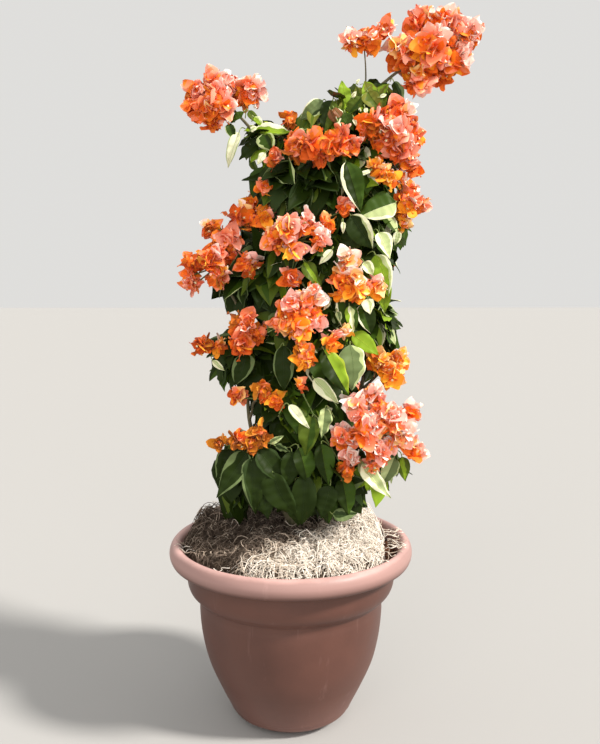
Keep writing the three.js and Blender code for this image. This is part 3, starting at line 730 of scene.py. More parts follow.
# ------------------------------------------------------------------ woody stems with bark relief
def woody(name, points, base, tip, flare=0.0, sides=18, pitch=0.006):
    p = np.array(points, float) * MM
    length = np.linalg.norm(np.diff(p, axis=0), axis=1).sum()
    n = max(6, int(length / pitch))
    path = catmull(p, n)
    t = np.linspace(0, 1, n + 1)
    r = (base + (tip - base) * t + flare * np.exp(-t * 22)) * MM
    r *= 0.955
    a = np.arange(sides) / sides * 2 * math.pi
    seed = len(name) * 7 + sides
    rng = np.random.default_rng(seed)
    ph = rng.random(6) * 6.28
    ridge = 0.045 * np.sin(5 * a[None] + 40 * t[:, None] * length + ph[0]) + 0.035 * np.sin(9 * a[None] - 60 * t[:, None] * length + ph[1])
    knots = 0.0
    for _ in range(int(length / 0.045)):
        tk, ak = rng.random(), rng.random() * 6.28
        da = np.angle(np.exp(1j * (a - ak)))
        knots = knots + 0.16 * np.exp(-((t[:, None] - tk) * length / 0.006) ** 2 - (da[None] / 0.7) ** 2)
    lobes = (flare / max(base, 1)) * 0.5 * np.exp(-t[:, None] * 26) * np.sin(4 * a[None] + ph[2])
    fine = rng.normal(0, 0.018, (n + 1, sides))
    relief = 1 + ridge + knots + lobes + fine
    return path, r, relief


trunks = Bag()
for name, (pts, base, tip, flare) in STEMS.items():
    slim = 1.0 if name == "main_stem" else 0.72
    path, r, relief = woody(name, pts, base * slim, tip * slim, flare, 20 if name == "main_stem" else 14)
    add_tubes(trunks, path[None], r[None], relief.shape[1], 0, relief[None])
trunk = trunks.build("woody_stems", [BARK])
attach(trunk, "root")
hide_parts("main_stem", "left_cane", "right_cane")

skeleton = []      # points on the woody frame that new growth can start from
for name, (pts, base, tip, flare) in STEMS.items():
    skeleton.append(catmull(np.array(pts, float) * MM, 60))
skeleton = np.concatenate(skeleton)

arms = Bag()
arm_tips = {}
SLIM = {"top_twig": 0.45, "top_arm": 0.62, "left_arm": 0.62}
for name, (pts, base, tip) in BOUGHS.items():
    path, r, relief = woody(name, pts, base * SLIM.get(name, 0.8), tip * SLIM.get(name, 0.8), 0, 9, 0.008)
    add_tubes(arms, path[None], r[None], relief.shape[1], 0, relief[None])


def bough(bag, start, end, r0, r1, rng, lift=0.35, n=14, mat=0, sag=0.0):
    """One tapering limb from the woody frame to a place, leaving the stem outward and upward."""
    start, end = np.asarray(start, float), np.asarray(end, float)
    d = end - start
    span = np.linalg.norm(d)
    c1 = start + d * 0.30 + UP * span * lift * 0.5 + rng.normal(0, 0.05, 3) * span
    c2 = start + d * 0.72 + UP * span * (lift * 0.6 - sag) + rng.normal(0, 0.05, 3) * span
    path = bezier(start, c1, c2, end, n)[0]
    wob = Waves(rng.integers(1 << 30), 0.07, 4)
    s = np.linspace(0, 1, n + 1)
    path = path + (np.stack([wob(path), wob(path + 1.7), wob(path - 2.3)], -1) * 0.0035) * np.sin(math.pi * s)[:, None]
    add_tubes(bag, path[None], (r0 + (r1 - r0) * s)[None], 6, mat)
    return path


def nearest_below(p, drop=0.03):
    """The place on the woody frame that a limb to p would most likely leave from."""
    p = np.asarray(p, float)
    low = skeleton[skeleton[:, 2] < p[2] - drop]
    if len(low) == 0:
        low = skeleton[:10]
    d = np.linalg.norm((low - p) * [1, 1, 0.75], axis=1)
    return low[np.argmin(d)]


# ------------------------------------------------------------------ leaves
LEAF_T = np.array([0.0, 0.03, 0.08, 0.16, 0.27, 0.40, 0.53, 0.66, 0.78, 0.88, 0.95, 1.0])
LEAF_W = np.array([0.09, 0.36, 0.66, 0.90, 1.00, 0.99, 0.90, 0.73, 0.49, 0.26, 0.12, 0.012])
FINE_T = np.concatenate([[0.0, 0.015, 0.035, 0.06], np.linspace(0.09, 0.95, 20), [0.975, 1.0]])
FINE_W = np.array([catmull(np.stack([LEAF_T, LEAF_W, 0 * LEAF_T], -1), 300)[:, 1][np.argmin(np.abs(catmull(np.stack([LEAF_T, LEAF_W, 0 * LEAF_T], -1), 300)[:, 0] - t))] for t in FINE_T])

# The ways a leaf is marked: colour numbers of its six strips from edge to edge, and the share of the half
# width inside the edge strips.
STYLES = {
    "deep": ((0, 0, 0, 0, 0, 0), 0.90),
    "green": ((1, 1, 1, 1, 1, 1), 0.90),
    "olive": ((7, 7, 7, 1, 7, 7), 0.88),
    "deep_green": ((0, 0, 0, 1, 1, 1), 0.90),
    "deep_grey": ((8, 0, 0, 0, 0, 8), 0.78),
    "dusk": ((8, 8, 8, 8, 8, 3), 0.92),
    "dusk_deep": ((8, 0, 0, 0, 0, 8), 0.84),
    "grey": ((3, 8, 8, 8, 8, 3), 0.80),
    "grey_soft": ((3, 3, 8, 8, 3, 3), 0.80),
    "grey_edge": ((3, 0, 0, 0, 0, 3), 0.80),
    "deep_rim": ((0, 0, 0, 0, 0, 8), 0.84),
    "dusk_left": ((3, 8, 0, 0, 0, 0), 0.88),
    "thin_edge": ((4, 1, 1, 0, 0, 4), 0.91),
    "wide_edge": ((5, 5, 1, 1, 4, 5), 0.74),
    "edge_l": ((5, 0, 0, 1, 1, 1), 0.76),
    "edge_r": ((0, 0, 0, 0, 4, 5), 0.78),
    "edge_green": ((5, 1, 1, 0, 0, 0), 0.78),
    "half_grey": ((0, 0, 0, 8, 3, 3), 0.80),
    "half_olive": ((0, 0, 0, 7, 7, 7), 0.88),
    "pale_pair": ((4, 3, 3, 3, 4, 5), 0.86),
    "lime": ((2, 2, 2, 2, 2, 2), 0.88),
    "lime_dark": ((7, 7, 2, 2, 7, 7), 0.80),
    "lime_right": ((0, 0, 0, 2, 2, 6), 0.80),
    "lime_cream": ((2, 2, 2, 2, 4, 5), 0.76),
    "lime_grey": ((2, 2, 2, 4, 4, 3), 0.80),
    "olive_lime": ((7, 7, 2, 2, 2, 7), 0.80),
    "olive_bronze": ((7, 7, 7, 9, 7, 7), 0.84),
    "bronze": ((9, 9, 9, 9, 9, 5), 0.86),
    "half_low": ((1, 1, 1, 4, 4, 5), 0.84),
    "frost_top": ((5, 3, 3, 3, 8, 4), 0.80),
    "strip": ((2, 2, 5, 4, 1, 1), 0.80),
    "mint": ((4, 4, 4, 3, 3, 4), 0.80),
    "frost": ((5, 5, 4, 4, 4, 5), 0.74),
    "cream": ((5, 5, 5, 4, 5, 5), 0.74),
    "cream_half": ((5, 5, 5, 1, 1, 4), 0.74),
    "white_strip": ((4, 5, 5, 5, 5, 4), 0.86),
    "young": ((6, 6, 6, 2, 6, 6), 0.90),
    "young_edge": ((5, 2, 2, 2, 2, 5), 0.80),
    "fleck": ((1, 1, 5, 1, 1, 4), 0.90),
    "khaki": ((10, 10, 7, 10, 10, 7), 0.86),
    "khaki_lime": ((10, 2, 10, 10, 2, 7), 0.84),
    "lime_white": ((7, 2, 2, 2, 5, 5), 0.72),
    "fold_green": ((4, 4, 1, 0, 7, 4), 0.78),
}
STYLE_NAMES = list(STYLES)
STYLE_STRIPS = np.array([STYLES[k][0] for k in STYLE_NAMES])
STYLE_GREEN = np.array([STYLES[k][1] for k in STYLE_NAMES])
# How often each kind grows in a part of the bush. The parts also carry painted light and shade: the shade and skirt
# parts get the darkest leaves, for the dim inside and underside of the bush, and the right and top parts paler and
# yellower ones, where light falls
MIXES = {
    "shade": {"deep": 40, "deep_green": 10, "deep_grey": 18, "grey_edge": 9, "dusk": 8, "green": 5, "thin_edge": 3, "olive": 4, "grey": 2},
    "skirt": {"deep": 46, "deep_green": 8, "deep_grey": 16, "dusk_deep": 14, "dusk": 8, "grey_edge": 5, "green": 3, "olive": 3},
    "middle": {"deep": 22, "deep_green": 14, "green": 18, "deep_grey": 8, "grey_edge": 8, "thin_edge": 7, "edge_l": 4, "edge_r": 4, "olive": 7, "lime": 5, "frost": 2, "cream_half": 1},
    "right": {"deep": 10, "deep_green": 10, "green": 20, "grey_edge": 6, "thin_edge": 7, "edge_l": 6, "edge_r": 6, "wide_edge": 6, "half_low": 5, "lime": 8, "lime_cream": 5, "frost": 6, "cream_half": 4, "mint": 3},
    "top": {"young": 5, "lime": 9, "olive": 24, "olive_lime": 11, "green": 12, "deep_green": 7, "bronze": 5, "olive_bronze": 8, "young_edge": 2, "grey_edge": 3, "deep": 5, "khaki": 16, "khaki_lime": 8},
    "arm": {"young_edge": 14, "young": 10, "lime": 10, "green": 20, "frost": 6, "deep": 18, "olive": 18},
    "tips": {"mint": 18, "frost": 16, "half_low": 10, "lime": 8, "green": 24, "grey_edge": 12, "deep_green": 12},
}


def pick_styles(rng, n, mix):
    """Strip colours (n, 6) and green shares (n,) for n leaves of a part of the bush."""
    share = np.array([MIXES[mix].get(k, 0) for k in STYLE_NAMES], float)
    which = rng.choice(len(STYLE_NAMES), n, p=share / share.sum())
    strips = STYLE_STRIPS[which].copy()
    flip = rng.random(n) < 0.5
    strips[flip] = strips[flip][:, ::-1]
    # neighbouring greens stand in for each other, side by side: partly random tone, partly painted light, one half of a
    # leaf a shade lighter or darker than the other, as a lit and a shaded half
    near = np.array([7, 0, 7, 8, 3, 4, 2, 1, 0, 7, 7])
    for cols in (slice(0, 3), slice(3, 6)):
        swap = rng.random(n) < 0.10
        strips[swap, cols] = near[strips[swap, cols]]
    return strips, np.clip(STYLE_GREEN[which] + rng.normal(0, 0.05, n), 0.45, 0.975)


def make_leaves(bag, rng, base, along, face, length, width, green, colours, bend, fold, twist_by=0.22, calm=1.0, fine=False, loose=1.0):
    """Adds leaves. base, along and face are (n, 3), colours is (n, 6), the rest are (n,). green is the
    share of the half width inside the edge strips."""
    n = len(base)
    LT, LW = (FINE_T, FINE_W) if fine else (LEAF_T, LEAF_W)
    rows, cols = len(LT), 7
    along = unit(along)
    face = unit(face - along * (face * along).sum(-1, keepdims=True))
    side = np.cross(along, face)
    # where the edge colour starts on each side, wandering along the blade
    t2 = LT[None, :, None]

    def wander(size_1, size_2):
        f1, f2 = rng.uniform(0.7, 1.7, (n, 1, 2)), rng.uniform(2.3, 4.6, (n, 1, 2))
        p1, p2 = rng.random((n, 1, 2)), rng.random((n, 1, 2))
        return rng.uniform(0.3, 1, (n, 1, 2)) * size_1 * np.sin(6.283 * (t2 * f1 + p1)) + rng.uniform(0.2, 1, (n, 1, 2)) * size_2 * np.sin(6.283 * (t2 * f2 + p2))
    at, wide = rng.uniform(0.10, 0.85, (n, 1, 2)), rng.uniform(0.07, 0.22, (n, 1, 2))
    swell = rng.uniform(-0.25, 0.50, (n, 1, 2)) * np.exp(-((t2 - at) / wide) ** 2) * (rng.random((n, 1, 2)) < 0.7)
    w1 = np.clip(green[:, None, None] + rng.normal(0, 0.05, (n, 1, 2)) + loose * wander(0.16, 0.08) - (0.4 + 0.6 * loose) * swell, 0.22, 0.985)
    w2 = w1 * np.clip(0.56 + rng.normal(0, 0.10, (n, 1, 2)) + wander(0.22, 0.14), 0.16, 0.94)
    one = np.ones((n, rows))
    U = np.stack([-one, -w1[..., 0], -w2[..., 0], 0 * one, w2[..., 1], w1[..., 1], one], -1)
    half = LW[None] * width[:, None] * 0.5 * (1 + rng.normal(0, 0.012 if fine else 0.022, (n, rows)))
    # some leaves are broader below the middle, some above
    half = half * (1 + rng.normal(0, 0.20, (n, 1)) * (LT[None] - 0.4))
    skew = rng.normal(0, 0.08, (n, 1))
    x = U * half[..., None] * (1 + skew[..., None] * np.sign(U))
    # folded along the rib, waved along the edge, and quilted a little between the side veins
    fo = (fold[:, None] * (1 - 0.35 * LT[None]))[..., None]
    wave = calm * rng.uniform(0.012, 0.065, n)[:, None, None] * length[:, None, None]
    ph = rng.random((n, 1, 1)) * 6.28
    cyc = rng.uniform(1.1, 2.8, n)[:, None, None]
    T = LT[None, :, None]
    z = np.abs(x) * np.tan(fo) + wave * (U ** 2) * np.sin(T * cyc * 6.28 + ph + 1.3 * np.sign(U)) * np.minimum(1, half[..., None] / (0.3 * width[:, None, None]))
    z = z + (0.030 if fine else 0.016) * length[:, None, None] * np.abs(np.sin(T * 17 - 2.2 * np.abs(U))) * (np.abs(U) > 0.02) * (np.abs(U) < 0.9)
    x = x * np.cos(fo * 0.9)
    # arching along its length
    tt = LT[None] * np.ones((n, 1))
    phi = bend[:, None] * (tt ** 1.35) - 0.25 * bend[:, None]
    dt = np.diff(LT)[None]
    mid = (phi[:, 1:] + phi[:, :-1]) / 2
    yy = np.concatenate([np.zeros((n, 1)), np.cumsum(np.cos(mid) * dt, 1)], 1) * length[:, None]
    zz = -np.concatenate([np.zeros((n, 1)), np.cumsum(np.sin(mid) * dt, 1)], 1) * length[:, None]
    twist = rng.normal(0, twist_by, n)[:, None] * tt
    sway = calm * rng.normal(0, 0.09, n)[:, None] * tt ** 2 * length[:, None]
    F = face[:, None, :] * np.cos(phi)[..., None] + along[:, None, :] * np.sin(phi)[..., None]
    S = np.broadcast_to(side[:, None, :], F.shape)
    F2 = F * np.cos(twist)[..., None] + S * np.sin(twist)[..., None]
    S2 = S * np.cos(twist)[..., None] - F * np.sin(twist)[..., None]
    centre = base[:, None, :] + along[:, None, :] * yy[..., None] + face[:, None, :] * zz[..., None] + side[:, None, :] * sway[..., None]
    V = centre[:, :, None, :] + S2[:, :, None, :] * x[..., None] + F2[:, :, None, :] * z[..., None]
    faces = grid_faces(rows, cols)
    F4 = (faces[None] + (np.arange(n) * rows * cols)[:, None, None]).reshape(-1, 4)
    M = np.tile(colours[:, None, :], (1, rows - 1, 1))
    bag.add(V.reshape(-1, 3), F4, M.reshape(-1))
    if fine:
        # the rib stands a little proud of the blade
        rib = V[:, 1:-2, 3, :] + F2[:, 1:-2] * 0.0003
        add_tubes(bag, rib, (0.00055 - 0.0004 * LT[1:-2])[None] * np.ones((n, 1)), 3, np.array([8, 7, 6, 3, 5, 4, 6, 7, 8, 7, 7])[colours[:, 2]])


front_leaves, low_leaves, back_leaves, twigs = Bag(), Bag(), Bag(), Bag()
rng = np.random.default_rng(2024)


def back_lumps(centre, half, seed):
    """The lumps of a head on the far side, worked out from its centre and half sizes."""
    r = np.random.default_rng(seed)
    d = sphere_dirs(7, r, 0.7)
    return [(*(np.array(centre) + d[i] * np.array(half) * 0.52), float(min(half) * r.uniform(0.42, 0.60))) for i in range(7)]


BACK_LUMPS = {name: back_lumps(*spec) for name, spec in BACK_HEADS.items()}
ALL_LUMPS = np.array([l for h in (HEADS, BACK_LUMPS) for ls in h.values() for l in ls], float) * MM
LUMP_OUT = np.array([[l[0] - axis_at(l[2])[0], l[1] - axis_at(l[2])[1] - 0.02 * (l[1] < 0.02), 0.010] for l in ALL_LUMPS])
LUMP_OUT = unit(LUMP_OUT)
# Places that stay open: x from, x to, z from, z to
OPEN = [(-0.40, -0.086, 0.628, 0.712), (-0.40, -0.148, 0.40, 0.61)]

# Leaves that stand out at the front: where the blade starts, its tip, its width in millimetres, how it is
# marked, how far it is turned about its own length in degrees, and how much it arches.
FRONT_LEAVES = [
    ((110, -30, 1262), (102, -24, 1314), 27, "lime", 0, 0.4),
    ((156, -34, 1267), (143, -30, 1313), 33, "khaki_lime", 14, 0.5),
    ((168, -34, 1276), (189, -30, 1309), 25, "khaki_lime", -8, 0.4),
    ((135, -30, 1270), (126, -26, 1302), 25, "khaki", -14, 0.4),
    ((149, -52, 1286), (172, -60, 1241), 36, "khaki", 8, 0.5),
    ((136, -50, 1277), (114, -56, 1245), 27, "olive", 12, 0.5),
    ((201, -30, 1309), (226, -36, 1256), 21, "half_grey", 0, 0.3),
    ((61, -50, 1270), (22, -56, 1232), 33, "frost_top", 0, 0.5),
    ((80, -58, 1269), (55, -66, 1208), 32, "half_olive", 0, 0.3),
    ((83, -66, 1254), (102, -70, 1226), 17, "bronze", 0, 0.4),
    ((76, -66, 1251), (87, -70, 1224), 15, "bronze", 20, 0.4),
    ((104, -70, 1245), (117, -74, 1211), 21, "green", 0, 0.4),
    ((98, -72, 1235), (85, -76, 1209), 17, "fleck", 0, 0.4),
    ((118, -60, 1276), (127, -62, 1285), 8, "cream", 0, 0.2),
    ((171, -62, 1275), (184, -64, 1279), 8, "cream", 0, 0.2),
    ((128, -40, 1305), (134, -40, 1313), 6, "cream", 0, 0.2),
    ((90, -80, 1226), (94, -82, 1215), 8, "cream", 0, 0.2),
    ((120, -80, 1232), (124, -82, 1219), 8, "cream", 0, 0.2),
    ((141, -80, 1252), (145, -82, 1241), 8, "cream", 0, 0.2),
    ((28, -70, 1213), (7, -74, 1205), 11, "mint", 0, 0.3),
    ((-86, -108, 596), (-142, -126, 508), 45, "grey_edge", -6, 0.3),
    ((-116, -88, 595), (-144, -100, 535), 39, "grey_edge", 0, 0.3),
    ((-74, -112, 585), (-78, -130, 473), 47, "dusk_left", 10, 0.35),
    ((-35, -124, 558), (-13, -134, 466), 54, "deep_rim", 6, 0.15),
    ((-62, -114, 601), (-13, -124, 533), 47, "dusk_deep", -8, 0.2),
    ((26, -120, 554), (28, -134, 454), 51, "deep", 4, 0.15),
    ((41, -124, 668), (27, -130, 589), 39, "olive", 0, 0.4),
    ((16, -120, 606), (37, -128, 538), 41, "deep_green", -10, 0.2),
    ((59, -122, 614), (70, -128, 534), 39, "deep_green", 6, 0.2),
    ((101, -108, 543), (114, -118, 469), 41, "deep_green", -10, 0.2),
    ((77, -118, 530), (63, -128, 466), 41, "deep", 10, 0.2),
    ((83, -112, 471), (130, -116, 468), 26, "grey_soft", 0, 0.3),
    ((2, -118, 598), (-5, -124, 525), 39, "deep", -8, 0.2),
    ((-40, -120, 616), (-13, -126, 629), 12, "mint", 0, 0.5),
    ((-29, -122, 611), (-1, -128, 606), 15, "grey_soft", 20, 0.5),
    ((-3, -128, 692), (33, -134, 641), 19, "white_strip", 0, 0.5),
    ((66, -128, 686), (60, -132, 628), 27, "mint", -10, 0.4),
    ((104, -112, 1149), (132, -118, 1059), 43, "edge_l", -8, 0.5),
    ((200, -85, 1076), (126, -105, 1052), 51, "half_low", 0, 0.4),
    ((115, -100, 1051), (155, -108, 990), 47, "edge_r", 10, 0.5),
    ((127, -90, 1040), (112, -98, 975), 46, "deep", 0, 0.5),
    ((168, -100, 1019), (187, -110, 970), 34, "frost", -10, 0.5),
    ((164, -90, 977), (199, -100, 903), 40, "lime_cream", 0, 0.4),
    ((183, -80, 927), (183, -86, 866), 27, "lime", 10, 0.4),
    ((78, -118, 987), (56, -122, 959), 15, "cream", 0, 0.6),
    ((26, -112, 964), (62, -118, 904), 27, "lime_dark", 0, 0.4),
    ((146, -112, 894), (155, -116, 866), 25, "cream", 0, 0.3),
    ((112, -112, 881), (125, -118, 828), 25, "strip", 0, 0.5),
    ((137, -100, 882), (149, -108, 827), 38, "edge_green", 0, 0.5),
    ((140, -108, 964), (157, -112, 940), 23, "frost", 0, 0.4),
    ((149, -112, 1133), (124, -116, 1122), 9, "cream", 0, 0.3),
    ((123, -112, 1138), (130, -116, 1123), 9, "cream", 0, 0.3),
    ((99, -112, 1039), (99, -114, 1017), 9, "cream", 0, 0.3),
    ((75, -120, 889), (62, -122, 874), 9, "cream", 0, 0.3),
    ((88, -118, 870), (96, -120, 851), 13, "mint", 0, 0.3),
    ((209, -60, 1022), (205, -64, 995), 16, "frost", 0, 0.3),
    ((63, -136, 799), (103, -150, 713), 45, "lime_right", -10, 0.3),
    ((114, -112, 806), (128, -120, 720), 54, "pale_pair", -22, 0.3),
    ((45, -130, 743), (88, -136, 690), 27, "frost", 0, 0.5),
    ((119, -100, 826), (170, -108, 788), 33, "lime", 0, 0.5),
    ((24, -130, 808), (52, -132, 795), 11, "cream", 0, 0.3),
    ((8, -100, 533), (6, -112, 445), 49, "deep", 0, 0.2),
    ((62, -96, 528), (85, -106, 451), 48, "deep_green", 0, 0.2),
    ((-57, -104, 530), (-47, -116, 463), 43, "deep", 0, 0.2),
    ((-88, -70, 784), (-94, -80, 722), 43, "grey_edge", 0, 0.5),
    ((-13, -108, 804), (-13, -116, 719), 40, "grey_edge", 8, 0.4),
    ((-154, -62, 770), (-133, -66, 749), 13, "frost", 0, 0.5),
    ((139, -118, 573), (187, -132, 503), 32, "frost", 0, 0.3),
    ((203, -105, 582), (183, -112, 528), 33, "mint", 0, 0.4),
    ((219, -100, 583), (225, -106, 534), 26, "lime_dark", 0, 0.4),
    ((-100, -30, 1213), (-118, -34, 1145), 22, "white_strip", 20, 0.6),
    ((-67, -36, 1219), (-1, -42, 1202), 27, "lime_white", 0, 0.6),
    ((-51, -44, 1209), (-37, -50, 1174), 35, "fold_green", 8, 0.5),
    ((-55, -30, 1199), (-102, -36, 1164), 29, "deep", 0, 0.4),
    ((-81, -20, 1256), (-61, -22, 1231), 16, "olive", 0, 0.4),
    ((-92, -20, 1254), (-120, -22, 1236), 14, "green", 0, 0.4),
    ((104, -104, 899), (110, -110, 831), 38, "edge_green", 0, 0.4),
]
ARM_LEAVES = [
    ((-76, -40, 1215), (-62, -42, 1222), 12, "cream", 0, 0.3),
    ((-70, -34, 1242), (-53, -38, 1225), 14, "lime_cream", 0, 0.4),
    ((-119, -30, 1230), (-110, -34, 1195), 19, "thin_edge", 0, 0.4),
    ((-49, -46, 1173), (-66, -50, 1152), 15, "white_strip", 0, 0.4),
]
SHOWN = FRONT_LEAVES + ARM_LEAVES
SHOW_BASE = np.array([f[0] for f in SHOWN], float) * MM
SHOW_TIP = np.array([f[1] for f in SHOWN], float) * MM
SHOW_W = np.array([f[2] for f in SHOWN], float) * MM
SHOW_OPEN = [not f[3].startswith("deep") for f in SHOWN]      # these stay in full view


def clear_of_heads(points):
    """False for points inside a flower head or right outside of one, where they would hide it."""
    ok = np.ones(len(points), bool)
    for (x, y, z, r), out in zip(ALL_LUMPS, LUMP_OUT):
        d = points - [x, y, z]
        ahead = d @ out
        off = np.linalg.norm(d - ahead[:, None] * out, axis=1)
        ok &= ~((off < r * 0.80) & (ahead > -r * 0.5))
    return ok


def clear_of_front(points):
    """False for points in front of a leaf that stands out."""
    ok = np.ones(len(points), bool)
    for b, t, w, in_view in zip(SHOW_BASE, SHOW_TIP, SHOW_W, SHOW_OPEN):
        d = t - b
        k = np.clip(((points - b)[:, [0, 2]] @ d[[0, 2]]) / (d[0] ** 2 + d[2] ** 2), 0, 1)
        near = b + k[:, None] * d
        off = np.hypot(points[:, 0] - near[:, 0], points[:, 2] - near[:, 2])
        ok &= ~((off < w * (0.42 if in_view else 0.30)) & (points[:, 1] < near[:, 1] + 0.010))
    return ok


def front_show(leaves, seed):
    """Leaves placed one by one, each on a stalk from the nearest twig side of the bush."""
    r = np.random.default_rng(seed)
    n = len(leaves)
    starts, tips = np.array([f[0] for f in leaves], float) * MM, np.array([f[1] for f in leaves], float) * MM
    wide = np.array([f[2] for f in leaves], float) * MM
    along = unit(tips - starts)
    length = np.linalg.norm(tips - starts, axis=1)
    face = np.tile([0.06, -1.0, 0.30], (n, 1)) + r.normal(0, 0.05, (n, 3))
    face = unit(face - along * (face * along).sum(-1, keepdims=True))
    turn = np.radians([f[4] for f in leaves])[:, None]
    side = np.cross(along, face)
    face = face * np.cos(turn) + side * np.sin(turn)
    strips = np.array([STYLES[f[3]][0][::-1] for f in leaves])
    green = np.array([STYLES[f[3]][1] for f in leaves])
    bend = np.array([f[5] for f in leaves], float)
    # arching shortens the blade a little
    length = length * (1 + 0.05 * bend)
    for low in (False, True):
        k = (starts[:, 2] < 0.80) == low
        if not k.any():
            continue
        make_leaves(low_leaves if low else front_leaves, r, starts[k], along[k], face[k], length[k], wide[k] * 1.03, green[k], strips[k],
                    bend[k] + r.uniform(-0.1, 0.5, k.sum()), r.uniform(0.10, 0.42, k.sum()), 0.26, 1.0, fine=True, loose=0.5)
    # each stalk runs a short way toward the nearest wood
    wood = np.concatenate([skeleton] + [catmull(np.array(b[0], float) * MM, 20) for b in BOUGHS.values()])
    near = wood[np.argmin(np.linalg.norm(wood[None] - starts[:, None], axis=2), axis=1)] - starts
    far = np.linalg.norm(near, axis=1, keepdims=True)
    root = starts + near / far * np.minimum(far, np.minimum(0.026, length[:, None] * 0.5)) + [0, 0, -0.003]
    add_tubes(twigs, bezier(root, root * 0.6 + starts * 0.4 + UP * 0.006, starts - along * 0.012 + [0, 0.003, 0.002], starts, 5),
              np.full((n, 6), 0.0010), 4, 2)
    return n


def crown_top(x):
    """How high leaves and twigs reach, which steps up to the right."""
    return 1.238 + 0.024 * smooth(-0.01, 0.03, x) + 0.054 * smooth(0.060, 0.096, x) - 0.016 * smooth(0.185, 0.215, x)


